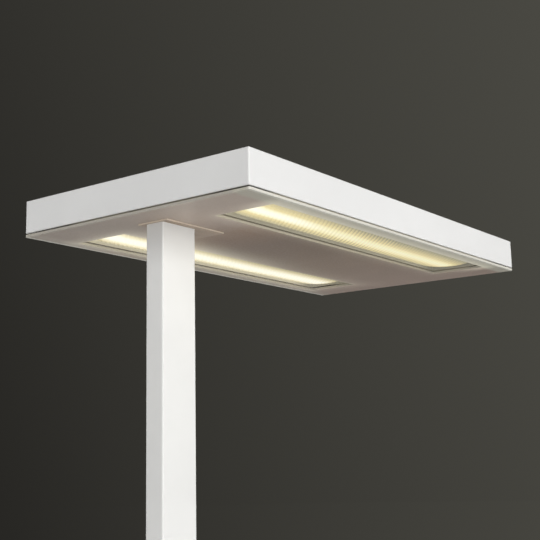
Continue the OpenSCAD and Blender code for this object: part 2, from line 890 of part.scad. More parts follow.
module lamp(s) {
    color(LIT) at_lamp(s) {
        translate([0, -cap_w / 2, -cap_h / 2]) cube([cap_len, cap_w, cap_h]);
        for (y = [-1, 1]) translate([cap_len, y * tube_pitch / 2, 0]) tube(lamp_len - cap_len);
        translate([lamp_len - bridge_in, -tube_pitch / 2, 0]) rotate([-90, 0, 0])
            cylinder(d = bridge_d, h = tube_pitch);
        for (y = pin_rows) translate([-pin_len, y, 0]) rotate([0, 90, 0])
            cylinder(d = pin_d, h = pin_len + EPS);
    }
}

module lamp_holder(s) {
    foot = head_z + lamp_z - tray_top;
    color(WHITE) at_lamp(s) difference() {
        translate([-holder_len, -cap_w / 2, -foot + bowl_t + FIT])
            cube([holder_len, cap_w, foot - bowl_t - FIT + cap_h / 2]);
        for (y = pin_rows) translate([-pin_len - FIT, y, 0]) rotate([0, 90, 0])
            cylinder(r = pin_d / 2 + SCREW, h = pin_len + 2 * FIT);
    }
}

module lamp_clip(s) {
    clip_x = lamp_len + lamp_gap - clip_len;
    clip_wall = 2;
    color(WHITE) at_lamp(s) difference() {
        translate([clip_x, -cap_w / 2, -tube_d / 2 - clip_wall]) cube([clip_len, cap_w, tube_d / 2]);
        for (y = [-1, 1]) translate([clip_x - EPS, y * tube_pitch / 2, 0])
            rotate([0, 90, 0]) cylinder(r = tube_d / 2 + SCREW, h = clip_len + 2 * EPS);
    }
}

// ---- Head: gear ----

module gear_case(y, length) {
    translate([gear_x, y, tray_top]) difference() {
        union() {
            slab(length - 2 * gear_ear, ballast_w, ballast_h);
            slab(length, ballast_w / 2, gear_ear_t);
        }
        for (s = [-1, 1]) translate([s * (length - gear_ear) / 2, 0, 0])
            screw_hole(M3, gear_ear_t);
    }
}

module ballast() {
    color(SHEET) gear_case(gear_y, ballast_len);
}

module control_unit() {
    color(DARK) gear_case(-gear_y, control_len);
}

module gear_screws() {
    color(STEEL) at(gear_points, tray_top + gear_ear_t)
        pan_screw(M3, gear_ear_t + sheet_t + GRIP);
}

module terminal_block() {
    width = terminal_ways * terminal_pitch;
    color(WHITE) translate([terminal_x, -width / 2, tray_top]) difference() {
        cube([terminal_len, width, terminal_len]);
        for (i = [0 : terminal_ways - 1], x = [1, 3])
            translate([x * terminal_len / 4, (i + 0.5) * terminal_pitch, terminal_len / 3])
            cylinder(d = terminal_pitch / 2, h = terminal_len);
    }
}

// ---- Head: top ----

module top_panel() {
    color(WHITE) difference() {
        inner_sheet(panel_z);
        each_window() translate([0, 0, panel_z - OVER]) slab(hatch_len, hatch_w, sheet_t + 2 * OVER);
        at(top_points, panel_z) screw_hole(M3, sheet_t);
    }
}

module top_screws() {
    color(STEEL) at(top_points, panel_top) pan_screw(M3, sheet_t + ledge_t);
}

module top_cover(s) {
    skirt_len = hatch_len - 2 * FIT;
    skirt_w = hatch_w - 2 * FIT;
    color(CLEAR) translate([window_x, s * window_y, panel_top]) difference() {
        union() {
            rounded_slab(hatch_len + 2 * lid_lap, hatch_w + 2 * lid_lap, lid_t, lid_r);
            translate([0, 0, -skirt_h]) slab(skirt_len, skirt_w, skirt_h + EPS);
        }
        translate([0, 0, -skirt_h - OVER])
            slab(skirt_len - 2 * skirt_t, skirt_w - 2 * skirt_t, skirt_h + OVER);
        translate([hatch_len / 2 + lid_lap, 0, -EPS]) cylinder(d = notch_d, h = lid_t + 2 * EPS);
    }
}

base_plate();
base_pad(0);  // base_pad_1
base_pad(1);  // base_pad_2
base_pad(2);  // base_pad_3
base_pad(3);  // base_pad_4
base_pad(4);  // base_pad_5
base_pad(5);  // base_pad_6
base_screws();
foot_collar();
post();
cable_gland();
gland_nut();
switch_bezel();
bezel_screws();
switch_body();
switch_lead();
power_button();
dimmer_button();
head_bracket();
post_screws();
bracket_screws();
frame_front();
frame_back();
frame_post_end();
frame_far_end();
corner_key(0);  // corner_key_1
corner_key(1);  // corner_key_2
corner_key(2);  // corner_key_3
corner_key(3);  // corner_key_4
key_screws();
tray();
tray_screws();
underside_plate();
plate_studs();
stud_nuts();
mount_cover();
cover_screws();
diffuser(-1);  // diffuser_1
diffuser(1);  // diffuser_2
reflector(-1);  // reflector_1
reflector(1);  // reflector_2
reflector_screws();
lamp(-1);  // lamp_1
lamp(1);  // lamp_2
lamp_holder(-1);  // lamp_holder_1
lamp_holder(1);  // lamp_holder_2
lamp_clip(-1);  // lamp_clip_1
lamp_clip(1);  // lamp_clip_2
ballast();
control_unit();
gear_screws();
terminal_block();
top_panel();
top_screws();
top_cover(-1);  // top_cover_1
top_cover(1);  // top_cover_2
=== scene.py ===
import math

import bmesh
import bpy
from mathutils import Matrix, Vector


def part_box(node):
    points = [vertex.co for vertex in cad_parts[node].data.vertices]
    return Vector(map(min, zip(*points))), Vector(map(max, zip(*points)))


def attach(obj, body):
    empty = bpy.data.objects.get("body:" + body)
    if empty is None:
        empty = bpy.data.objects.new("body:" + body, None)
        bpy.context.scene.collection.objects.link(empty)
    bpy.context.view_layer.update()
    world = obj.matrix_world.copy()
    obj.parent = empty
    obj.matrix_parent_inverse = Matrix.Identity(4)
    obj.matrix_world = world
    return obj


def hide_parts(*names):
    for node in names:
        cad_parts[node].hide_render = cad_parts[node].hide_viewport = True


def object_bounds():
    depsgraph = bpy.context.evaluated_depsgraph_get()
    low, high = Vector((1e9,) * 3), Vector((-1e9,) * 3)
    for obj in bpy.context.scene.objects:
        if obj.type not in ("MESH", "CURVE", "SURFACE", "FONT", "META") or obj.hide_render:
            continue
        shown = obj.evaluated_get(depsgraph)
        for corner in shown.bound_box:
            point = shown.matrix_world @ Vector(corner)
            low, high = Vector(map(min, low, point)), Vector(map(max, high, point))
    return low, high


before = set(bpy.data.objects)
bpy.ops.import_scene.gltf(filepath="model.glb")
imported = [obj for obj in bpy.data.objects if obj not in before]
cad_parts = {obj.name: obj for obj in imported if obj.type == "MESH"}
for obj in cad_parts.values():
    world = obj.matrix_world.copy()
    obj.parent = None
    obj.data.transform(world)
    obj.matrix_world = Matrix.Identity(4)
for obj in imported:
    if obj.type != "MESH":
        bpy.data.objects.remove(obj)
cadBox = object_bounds()
print("frame loaded:", len(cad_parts), "nodes")

mm = 0.001


def hexColour(code):
    parts = [int(code[i : i + 2], 16) / 255 for i in (1, 3, 5)]
    return [c / 12.92 if c <= 0.04045 else ((c + 0.055) / 1.055) ** 2.4 for c in parts] + [1.0]


def addNode(tree, kind, inputs=None, **settings):
    # an input is a plain value, a socket, or a node, which stands for its first output
    node = tree.nodes.new(kind)
    for key, value in settings.items():
        setattr(node, key, value)
    for key, value in (inputs or {}).items():
        if isinstance(value, bpy.types.Node):
            value = value.outputs[0]
        if isinstance(value, bpy.types.NodeSocket):
            tree.links.new(value, node.inputs[key])
        else:
            node.inputs[key].default_value = value
    return node


# camera, fitted to the photograph's own edges: below the head, at the post's end
view = {
    "place": (-1.1397, -0.8147, 1.6309),
    "heading": (0.7981, 0.6026),
    "pitch": 0.1783,
    "roll": 0.0195,
    "lens": 66.62,
    "sensor": 36.0,
    "clip": (0.05, 200),
}


def makeCamera():
    data = bpy.data.cameras.new("camera")
    data.sensor_width = view["sensor"]
    data.lens = view["lens"]
    data.clip_start, data.clip_end = view["clip"]
    camera = bpy.data.objects.new("camera", data)
    bpy.context.scene.collection.objects.link(camera)
    hx, hy = view["heading"]
    level = Vector((hx, hy, 0))
    forward = level * math.cos(view["pitch"]) + Vector((0, 0, math.sin(view["pitch"])))
    right = Vector((hy, -hx, 0))
    up = right.cross(forward)
    turn = view["roll"]
    across = right * math.cos(turn) - up * math.sin(turn)
    above = right * math.sin(turn) + up * math.cos(turn)
    axes = Matrix((across, above, -forward)).transposed().to_4x4()
    camera.matrix_world = Matrix.Translation(view["place"]) @ axes
    bpy.context.scene.camera = camera


makeCamera()
print("camera set")

# studio: a pale floor that runs out into a charcoal backdrop, and large soft lights
studio = {
    "floorRadius": 30.0,
    "floorPale": 1.6,
    "floorDark": 7.0,
    "floorSides": 96,
    "floorColour": "#D4D5D6",
    "floorGrain": 9.0,
    "floorRough": (0.55, 0.7),
    "backdropDark": "#282724",
    "backdropLight": "#494842",
    "backdropFrom": -0.27,
    "backdropTo": 0.37,
    "backdropLean": 0.28,
    "ambient": 0.30,
    "ambientColour": "#FBFBFA",
}
lights = {
    "keyLight": {
        "at": (-1.8, -5.8, 2.15), "to": (0.1, 0, 1.7), "size": 2.8, "power": 177, "colour": "#FFFEFD",
    },
    "sideFill": {
        "at": (3.0, -4.6, 2.2), "to": (0.2, 0, 1.7), "size": 2.0, "power": 68, "colour": "#FFFEFD",
    },
    "postFill": {
        "at": (-3.1, -0.7, 4.2), "to": (-0.3, 0, 1.5), "size": 1.6, "power": 27, "colour": "#FFFEFD",
    },
    "nearFill": {
        "at": (-4.6, -0.5, 1.1), "to": (-0.3, 0, 1.1), "size": 1.2, "power": 30, "colour": "#FFFEFD",
    },
    "rimLight": {"at": (2.8, 3.4, 2.9), "to": (0, 0, 1.2), "size": 2.6, "power": 120, "colour": "#FFFEFC"},
}


def backdropShade(tree, direction):
    # charcoal, lighter towards the photograph's right and top
    hx, hy = view["heading"]
    aside = addNode(tree, "ShaderNodeVectorMath", {0: direction, 1: (hy, -hx, 0)}, operation="DOT_PRODUCT")
    rise = addNode(tree, "ShaderNodeSeparateXYZ", {"Vector": direction}).outputs[2]
    lean = addNode(
        tree, "ShaderNodeMath",
        {0: rise, 1: studio["backdropLean"], 2: aside.outputs["Value"]},
        operation="MULTIPLY_ADD",
    )
    share = addNode(
        tree, "ShaderNodeMapRange",
        {"Value": lean, "From Min": studio["backdropFrom"], "From Max": studio["backdropTo"]},
    )
    shade = addNode(
        tree, "ShaderNodeMix",
        {"Factor": share, 6: hexColour(studio["backdropDark"]), 7: hexColour(studio["backdropLight"])},
        data_type="RGBA",
    )
    return shade.outputs[2]


def makeStudio():
    world = bpy.data.worlds.new("studio")
    world.use_nodes = True
    bpy.context.scene.world = world
    tree = world.node_tree
    tree.nodes.clear()
    shade = backdropShade(tree, addNode(tree, "ShaderNodeTexCoord").outputs["Generated"])
    seen = addNode(tree, "ShaderNodeBackground", {"Color": shade, "Strength": 1.0})
    glow = addNode(
        tree, "ShaderNodeBackground",
        {"Color": hexColour(studio["ambientColour"]), "Strength": studio["ambient"]},
    )
    ray = addNode(tree, "ShaderNodeLightPath")
    through = addNode(
        tree, "ShaderNodeMath",
        {0: ray.outputs["Is Camera Ray"], 1: ray.outputs["Is Transmission Ray"]},
        operation="MAXIMUM",
    )
    clear = addNode(
        tree, "ShaderNodeMath", {0: through, 1: ray.outputs["Is Glossy Ray"]}, operation="MAXIMUM"
    )
    mix = addNode(tree, "ShaderNodeMixShader", {0: clear, 1: glow, 2: seen})
    addNode(tree, "ShaderNodeOutputWorld", {"Surface": mix})

    for name, light in lights.items():
        data = bpy.data.lights.new(name, "AREA")
        data.shape = "SQUARE"
        data.size = light["size"]
        data.energy = light["power"]
        data.color = hexColour(light["colour"])[:3]
        lamp = bpy.data.objects.new(name, data)
        lamp.location = light["at"]
        lamp.visible_camera = False
        aim = Vector(light["to"]) - Vector(light["at"])
        lamp.rotation_euler = aim.to_track_quat("-Z", "Y").to_euler()
        bpy.context.scene.collection.objects.link(lamp)

    mesh = bpy.data.meshes.new("studioFloor")
    shape = bmesh.new()
    bmesh.ops.create_circle(shape, cap_ends=True, segments=studio["floorSides"], radius=studio["floorRadius"])
    shape.to_mesh(mesh)
    shape.free()
    floor = bpy.data.objects.new("studioFloor", mesh)
    bpy.context.scene.collection.objects.link(floor)
    mesh.materials.append(floorPaint())


def floorPaint():
    material = bpy.data.materials.new("floorPaint")
    material.use_nodes = True
    tree = material.node_tree
    tree.nodes.clear()
    place = addNode(tree, "ShaderNodeTexCoord").outputs["Object"]
    away = addNode(tree, "ShaderNodeVectorMath", {0: place}, operation="LENGTH").outputs["Value"]
    fade = addNode(
        tree, "ShaderNodeMapRange",
        {"Value": away, "From Min": studio["floorPale"], "From Max": studio["floorDark"]},
        interpolation_type="SMOOTHSTEP",
    )
    low, high = studio["floorRough"]
    grain = addNode(
        tree, "ShaderNodeTexNoise", {"Vector": place, "Scale": studio["floorGrain"], "Detail": 6.0}
    )
    rough = addNode(tree, "ShaderNodeMapRange", {"Value": grain, "To Min": low, "To Max": high})
    pale = addNode(
        tree, "ShaderNodeBsdfPrincipled", {"Base Color": hexColour(studio["floorColour"]), "Roughness": rough}
    )
    outward = addNode(tree, "ShaderNodeVectorMath", {0: place}, operation="NORMALIZE").outputs["Vector"]
    dark = addNode(tree, "ShaderNodeEmission", {"Color": backdropShade(tree, outward)})
    ray = addNode(tree, "ShaderNodeLightPath").outputs["Is Camera Ray"]
    both = addNode(tree, "ShaderNodeMath", {0: fade, 1: ray}, operation="MULTIPLY")
    mix = addNode(tree, "ShaderNodeMixShader", {0: both, 1: pale, 2: dark})
    addNode(tree, "ShaderNodeOutputMaterial", {"Surface": mix})
    return material


makeStudio()
bpy.context.scene.view_settings.view_transform = "Standard"
print("studio lit")


def newMaterial(name, **sockets):
    material = bpy.data.materials.new(name)
    material.use_nodes = True
    tree = material.node_tree
    tree.nodes.clear()
    place = addNode(tree, "ShaderNodeTexCoord").outputs["Object"]
    shader = addNode(tree, "ShaderNodeBsdfPrincipled", sockets)
    addNode(tree, "ShaderNodeOutputMaterial", {"Surface": shader})
    return material, tree, shader, place


def mottle(tree, vector, scale, low, high, detail=3.0):
    # a blotchy value from low to high, with about scale blotches to the metre; most of the noise
    # itself lies between 0.3 and 0.7
    noise = addNode(tree, "ShaderNodeTexNoise", {"Vector": vector, "Scale": scale, "Detail": detail})
    span = addNode(
        tree, "ShaderNodeMapRange",
        {"Value": noise, "From Min": 0.3, "From Max": 0.7, "To Min": low, "To Max": high},
    )
    return span.outputs[0]


# how strongly a finish's relief shows, how far its roughness wanders down and up, and how many
# cloudy patches a moulding has to the metre
relief = 0.6
cloudiness = 60.0
wander = {"coat": (0.05, 0.06), "metal": (0.08, 0.08), "plastic": (0.06, 0.06)}


def coatedMetal(name, look):
    # a baked powder coat: even colour, a soft broad sheen and a very fine orange peel
    material, tree, shader, place = newMaterial(
        name, **{"IOR": 1.5, "Coat Weight": look["coat"], "Coat Roughness": 0.35}
    )
    drift = mottle(tree, place, look["drift"], 0.0, 1.0)
    colour = addNode(
        tree, "ShaderNodeMix",
        {"Factor": drift, 6: hexColour(look["colour"]), 7: hexColour(look["shade"])},
        data_type="RGBA",
    ).outputs[2]
    tree.links.new(colour, shader.inputs["Base Color"])
    grain = addNode(tree, "ShaderNodeMapping", {"Vector": place, "Scale": look["stretch"]})
    less, more = wander["coat"]
    rough = mottle(tree, grain, look["peel"], look["rough"] - less, look["rough"] + more)
    tree.links.new(rough, shader.inputs["Roughness"])
    peel = mottle(tree, grain, look["peel"], 0.0, 1.0)
    bump = addNode(tree, "ShaderNodeBump", {"Height": peel, "Distance": look["depth"], "Strength": relief})
    tree.links.new(bump.outputs[0], shader.inputs["Normal"])
    return material


def plainMetal(name, look):
    # bare or plated metal: colour in the reflection, drawing marks along one axis
    material, tree, shader, place = newMaterial(name, **{"Metallic": 1.0})
    grain = addNode(tree, "ShaderNodeMapping", {"Vector": place, "Scale": look["stretch"]})
    tone = mottle(tree, grain, look["grain"], 0.0, 1.0, 4.0)
    colour = addNode(
        tree, "ShaderNodeMix",
        {"Factor": tone, 6: hexColour(look["colour"]), 7: hexColour(look["shade"])},
        data_type="RGBA",
    ).outputs[2]
    tree.links.new(colour, shader.inputs["Base Color"])
    less, more = wander["metal"]
    rough = mottle(tree, grain, look["grain"] * 0.7, look["rough"] - less, look["rough"] + more)
    tree.links.new(rough, shader.inputs["Roughness"])
    bump = addNode(tree, "ShaderNodeBump", {"Height": tone, "Distance": look["depth"], "Strength": relief})
    tree.links.new(bump.outputs[0], shader.inputs["Normal"])
    return material


def mouldedPlastic(name, look):
    # injection moulded: the tool's fine spark texture, with a faint cloudiness in the colour
    material, tree, shader, place = newMaterial(name, **{"IOR": 1.53, "Specular IOR Level": look["specular"]})
    cloud = mottle(tree, place, cloudiness, 0.0, 1.0)
    colour = addNode(
        tree, "ShaderNodeMix",
        {"Factor": cloud, 6: hexColour(look["colour"]), 7: hexColour(look["shade"])},
        data_type="RGBA",
    ).outputs[2]
    tree.links.new(colour, shader.inputs["Base Color"])
    less, more = wander["plastic"]
    spark = mottle(tree, place, look["spark"], look["rough"] - less, look["rough"] + more)
    tree.links.new(spark, shader.inputs["Roughness"])
    height = mottle(tree, place, look["spark"], 0.0, 1.0)
    bump = addNode(tree, "ShaderNodeBump", {"Height": height, "Distance": look["depth"], "Strength": relief})
    tree.links.new(bump.outputs[0], shader.inputs["Normal"])
    return material


# orange peel is about 1.5 mm across; drawn at 3 mm so that it shows
powderCoats = {
    "powderCoatedAluminium": {
        "colour": "#EEEEED", "shade": "#E9E9E8", "drift": 7.0, "peel": 340.0, "stretch": (1, 1, 1),
        "rough": 0.44, "coat": 0.12, "depth": 0.00003,
    },
    "powderCoatedExtrusion": {
        "colour": "#ECECEA", "shade": "#E6E6E4", "drift": 9.0, "peel": 300.0, "stretch": (1, 1, 0.03),
        "rough": 0.42, "coat": 0.12, "depth": 0.00003,
    },
    "powderCoatedSteel": {
        "colour": "#E9E9E6", "shade": "#E2E2DF", "drift": 6.0, "peel": 340.0, "stretch": (1, 1, 1),
        "rough": 0.50, "coat": 0.08, "depth": 0.00004,
    },
    "greyCoatedSteel": {
        "colour": "#B9BBBC", "shade": "#ACAEAF", "drift": 14.0, "peel": 420.0, "stretch": (1, 1, 1),
        "rough": 0.52, "coat": 0.0, "depth": 0.00003,
    },
}
# the plating's blotches and the rolling marks are under 1 mm; drawn at 2 to 4 mm so that they show
bareMetals = {
    "zincPlatedSteel": {
        "colour": "#C9CCCD", "shade": "#B4B8BC", "grain": 260.0, "stretch": (1, 1, 1), "rough": 0.34,
        "depth": 0.00002,
    },
    "blackenedSteel": {
        "colour": "#4A4A4B", "shade": "#38383A", "grain": 320.0, "stretch": (1, 1, 1), "rough": 0.42,
        "depth": 0.00002,
    },
    "brightRolledAluminium": {
        "colour": "#E9EAEA", "shade": "#D9DBDC", "grain": 500.0, "stretch": (0.04, 1, 1), "rough": 0.24,
        "depth": 0.00001,
    },
}
# a spark-eroded tool leaves pits of about 0.1 mm; drawn at 1 to 2 mm so that they show
plastics = {
    "mouldedNylonBlack": {
        "colour": "#262626", "shade": "#303030", "spark": 900.0, "rough": 0.52, "specular": 0.5,
        "depth": 0.00002,
    },
    "mouldedAbsWhite": {
        "colour": "#EDECE7", "shade": "#E6E5DF", "spark": 800.0, "rough": 0.36, "specular": 0.5,
        "depth": 0.00001,
    },
    "polishedAbsGrey": {
        "colour": "#D9DAD9", "shade": "#D0D1D0", "spark": 900.0, "rough": 0.24, "specular": 0.5,
        "depth": 0.00001,
    },
    "pvcWhite": {
        "colour": "#E6E5E0", "shade": "#DCDBD5", "spark": 500.0, "rough": 0.45, "specular": 0.4,
        "depth": 0.00001,
    },
    "nitrileRubberBlack": {
        "colour": "#1F1F20", "shade": "#29292A", "spark": 420.0, "rough": 0.75, "specular": 0.3,
        "depth": 0.00006,
    },
}
finishes = {}
for kindOf, makeOne in ((powderCoats, coatedMetal), (bareMetals, plainMetal), (plastics, mouldedPlastic)):
    for finish, look in kindOf.items():
        finishes[finish] = makeOne(finish, look)
print("coats, metals and plastics made")


# sizes read from the frame
bowlLow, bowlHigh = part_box("diffuser_1")
farLow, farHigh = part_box("diffuser_2")
plateLow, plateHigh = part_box("underside_plate")
trayLow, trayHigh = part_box("tray")
windowX = (bowlLow.x + bowlHigh.x) / 2
windowY = (farLow.y + farHigh.y) / 2
window = {"halfLength": 268.5 * mm, "halfWidth": 42.5 * mm}  # the cut-outs in the underside plate
headHalf = cadBox[1][0]


def setStops(ramp, stops):
    points = ramp.color_ramp.elements
    while len(points) < len(stops):
        points.new(0.5)
    for point, (where, code) in zip(points, stops):
        point.position = where
        point.color = hexColour(code)


def uprightShare(tree):
    # 0 on faces that look up or down, 1 on faces that look sideways, and the normal's own height
    normal = addNode(tree, "ShaderNodeNewGeometry").outputs["True Normal"]
    height = addNode(tree, "ShaderNodeSeparateXYZ", {"Vector": normal}).outputs[2]
    sideways = addNode(
        tree, "ShaderNodeMath",
        {0: 1.0, 1: addNode(tree, "ShaderNodeMath", {0: height}, operation="ABSOLUTE")},
        operation="SUBTRACT",
    )
    share = addNode(
        tree, "ShaderNodeMapRange", {"Value": sideways, "From Min": 0.2, "From Max": 0.8}
    ).outputs[0]
    return share, height


def windowPlaces(tree, x, y):
    # how far a point lies outwards from a window's middle line, and past its end and its side
    fold = addNode(
        tree, "ShaderNodeMath",
        {0: addNode(tree, "ShaderNodeMath", {0: y}, operation="ABSOLUTE"), 1: windowY},
        operation="SUBTRACT",
    ).outputs[0]
    fromMiddle = addNode(
        tree, "ShaderNodeMath",
        {0: addNode(tree, "ShaderNodeMath", {0: x, 1: windowX}, operation="SUBTRACT")},
        operation="ABSOLUTE",
    )
    pastEnd = addNode(
        tree, "ShaderNodeMath", {0: fromMiddle, 1: window["halfLength"]}, operation="SUBTRACT"
    ).outputs[0]
    pastSide = addNode(
        tree, "ShaderNodeMath",
        {0: addNode(tree, "ShaderNodeMath", {0: fold}, operation="ABSOLUTE"), 1: window["halfWidth"]},
        operation="SUBTRACT",
    ).outputs[0]
    return fold, pastEnd, pastSide


def satinMoulding():
    # opal acrylic moulding with a satin face; its upright rim is painted lighter and given a faint glow: a
    # painted highlight
    look = {
        "face": "#AF9983", "faceShade": "#A58F7B", "cloud": 60.0, "rim": "#CDBFAE", "rimPaintedGlow": 0.16,
        "patches": 500.0, "rough": (0.36, 0.48),
    }
    material, tree, shader, place = newMaterial(
        "satinMoulding", **{"IOR": 1.49, "Emission Color": hexColour(look["rim"])}
    )
    cloud = mottle(tree, place, look["cloud"], 0.0, 1.0)
    upright, _ = uprightShare(tree)
    face = addNode(
        tree, "ShaderNodeMix",
        {"Factor": cloud, 6: hexColour(look["face"]), 7: hexColour(look["faceShade"])},
        data_type="RGBA",
    ).outputs[2]
    # painted highlight: the upright faces take the lighter rim colour and glow faintly
    colour = addNode(
        tree, "ShaderNodeMix", {"Factor": upright, 6: face, 7: hexColour(look["rim"])}, data_type="RGBA"
    )
    tree.links.new(colour.outputs[2], shader.inputs["Base Color"])
    glow = addNode(
        tree, "ShaderNodeMath", {0: upright, 1: look["rimPaintedGlow"]}, operation="MULTIPLY"
    ).outputs[0]
    tree.links.new(glow, shader.inputs["Emission Strength"])
    tree.links.new(mottle(tree, place, look["patches"], *look["rough"]), shader.inputs["Roughness"])
    return material


def satinAcrylic():
    # a clear sheet, frosted by etching: a greyish body with painted shade and painted reflection along it,
    # and painted light from the windows' cut edges
    look = {
        "edge": "#A9A297", "rim": "#DDDBD1", "rimWidth": 7 * mm, "shortRimHighlight": 0.2, "longRimHighlight": 0.85,
        "strip": "#BAB6A5", "stripFrom": 36 * mm, "stripTo": 46 * mm, "nearStrip": 0.85, "farStrip": 0.25,
        "stripTurn": 100 * mm, "tiltFrom": -0.12, "tiltTo": 0.17, "tiltSpan": 80 * mm,
        "sideFrom": -180 * mm, "sideTo": -250 * mm, "paintedSheen": 0.15, "sheenAt": (-272 * mm, -40 * mm),
        "sheenReach": 70 * mm, "sheenCore": 15 * mm, "haze": 16.0, "hazy": (0.96, 1.04),
        "etch": 700.0, "etchDepth": 0.01 * mm, "patches": 300.0, "rough": (0.34, 0.44),
    }
    leaks = {
        "colour": "#D4D0BC", "reach": 30 * mm, "inner": 0.05, "outer": 0.29, "turn": (-10 * mm, 30 * mm),
        "brim": 0.07, "brimReach": 9 * mm, "farReach": 80 * mm, "farFall": 3.0, "farHot": 0.62,
        "farCool": 0.12, "hotTo": -150 * mm, "coolFrom": 70 * mm, "behindPost": 0.25,
        "postFrom": -290 * mm, "postTo": -190 * mm, "farOuter": 0.16, "cutGlow": 0.15, "cutReach": 4 * mm,
        "cutFar": 0.35, "cutPost": 1.4,
    }
    # the face's tone along the head, darker in the middle than at the ends: the sheet's own greyish colour
    # with painted shade and painted reflection
    body = [
        (0.0, "#AA9B8E"), (0.164, "#A59385"), (0.231, "#967C66"), (0.276, "#886D56"), (0.366, "#7A6451"),
        (0.455, "#806A56"), (0.59, "#8F7A67"), (1.0, "#9E887A"),
    ]
    material, tree, shader, place = newMaterial(
        "satinAcrylic", **{"IOR": 1.49, "Specular IOR Level": 0.5, "Emission Strength": 1.0}
    )
    axes = addNode(tree, "ShaderNodeSeparateXYZ", {"Vector": place})
    x, y = axes.outputs[0], axes.outputs[1]
    along = addNode(tree, "ShaderNodeMapRange", {"Value": x, "From Min": -headHalf, "From Max": headHalf})
    shadedBodyRamp = addNode(tree, "ShaderNodeValToRGB", {"Fac": along})
    setStops(shadedBodyRamp, body)
    # towards the post one side of the face is lighter, a painted light, and it is lightest beside the cover,
    # a painted reflection of the post
    postSide = addNode(
        tree, "ShaderNodeMapRange", {"Value": x, "From Min": look["sideFrom"], "From Max": look["sideTo"]}
    )
    paintedSideLight = addNode(
        tree, "ShaderNodeMapRange",
        {
            "Value": y, "From Min": look["tiltSpan"], "From Max": -look["tiltSpan"],
            "To Min": look["tiltFrom"], "To Max": look["tiltTo"],
        },
    )
    paintedSideLight = addNode(tree, "ShaderNodeMath", {0: postSide, 1: paintedSideLight}, operation="MULTIPLY")
    sheenX, sheenY = look["sheenAt"]
    toSheen = addNode(
        tree, "ShaderNodeVectorMath", {0: place, 1: (sheenX, sheenY, plateLow.z)}, operation="DISTANCE"
    ).outputs["Value"]
    paintedSheen = addNode(
        tree, "ShaderNodeMapRange",
        {
            "Value": toSheen, "From Min": look["sheenReach"], "From Max": look["sheenCore"],
            "To Max": look["paintedSheen"],
        },
        interpolation_type="SMOOTHSTEP",
    )
    haze = mottle(tree, place, look["haze"], *look["hazy"])
    lighter = addNode(tree, "ShaderNodeMath", {0: paintedSideLight, 1: paintedSheen}, operation="ADD")
    lighter = addNode(tree, "ShaderNodeMath", {0: lighter, 1: 1.0}, operation="ADD")
    haze = addNode(tree, "ShaderNodeMath", {0: haze, 1: lighter}, operation="MULTIPLY")
    face = addNode(tree, "ShaderNodeVectorMath", {0: shadedBodyRamp, 1: haze}, operation="MULTIPLY")
    # the edges are cut and polished; their lighter colour is a painted highlight
    edge, height = uprightShare(tree)
    colour = addNode(
        tree, "ShaderNodeMix", {"Factor": edge, 6: face, 7: hexColour(look["edge"])}, data_type="RGBA"
    ).outputs[2]
    # the strips outside the windows are greyer, greener and lighter than the middle: painted light from the
    # windows, stronger on the near side
    fold, pastEnd, pastSide = windowPlaces(tree, x, y)
    strip = addNode(
        tree, "ShaderNodeMapRange",
        {"Value": fold, "From Min": look["stripFrom"], "From Max": look["stripTo"]},
        interpolation_type="SMOOTHSTEP",
    )
    stripShare = addNode(
        tree, "ShaderNodeMapRange",
        {
            "Value": y, "From Min": -look["stripTurn"], "From Max": look["stripTurn"],
            "To Min": look["nearStrip"], "To Max": look["farStrip"],
        },
    )
    strip = addNode(tree, "ShaderNodeMath", {0: strip, 1: stripShare}, operation="MULTIPLY")
    colour = addNode(
        tree, "ShaderNodeMix", {"Factor": strip, 6: colour, 7: hexColour(look["strip"])}, data_type="RGBA"
    ).outputs[2]
    # just inside its outer edges the face is painted lighter: a painted highlight of the edges' brightness
    inX = addNode(tree, "ShaderNodeMath", {0: x, 1: plateLow.x}, operation="SUBTRACT")
    inY = addNode(
        tree, "ShaderNodeMath",
        {0: plateHigh.y, 1: addNode(tree, "ShaderNodeMath", {0: y}, operation="ABSOLUTE")},
        operation="SUBTRACT",
    )
    shortRimHighlight = addNode(
        tree, "ShaderNodeMapRange",
        {"Value": inX, "From Min": look["rimWidth"], "From Max": 0.0, "To Max": look["shortRimHighlight"]},
        interpolation_type="SMOOTHSTEP",
    )
    longRimHighlight = addNode(
        tree, "ShaderNodeMapRange",
        {"Value": inY, "From Min": look["rimWidth"], "From Max": 0.0, "To Max": look["longRimHighlight"]},
        interpolation_type="SMOOTHSTEP",
    )
    rim = addNode(tree, "ShaderNodeMath", {0: shortRimHighlight, 1: longRimHighlight}, operation="MAXIMUM")
    colour = addNode(
        tree, "ShaderNodeMix", {"Factor": rim, 6: colour, 7: hexColour(look["rim"])}, data_type="RGBA"
    ).outputs[2]
    tree.links.new(colour, shader.inputs["Base Color"])
    # painted light that leaks sideways from the windows, as a glow on the face
    pushX = addNode(
        tree, "ShaderNodeMath",
        {0: addNode(tree, "ShaderNodeMath", {0: pastEnd, 1: 0.0}, operation="MAXIMUM"), 1: 2.0},
        operation="POWER",
    )
    pushY = addNode(
        tree, "ShaderNodeMath",
        {0: addNode(tree, "ShaderNodeMath", {0: pastSide, 1: 0.0}, operation="MAXIMUM"), 1: 2.0},
        operation="POWER",
    )
    gap = addNode(
        tree, "ShaderNodeMath",
        {0: addNode(tree, "ShaderNodeMath", {0: pushX, 1: pushY}, operation="ADD")},
        operation="SQRT",
    )
    leak = addNode(
        tree, "ShaderNodeMapRange",
        {"Value": gap, "From Min": leaks["reach"], "From Max": 0.0},
        interpolation_type="SMOOTHSTEP",
    )
    inside, outside = leaks["turn"]
    nearShare = addNode(
        tree, "ShaderNodeMapRange",
        {
            "Value": fold, "From Min": inside, "From Max": outside, "To Min": leaks["inner"],
            "To Max": leaks["outer"],
        },
    )
    nearLeak = addNode(tree, "ShaderNodeMath", {0: leak, 1: nearShare}, operation="MULTIPLY")
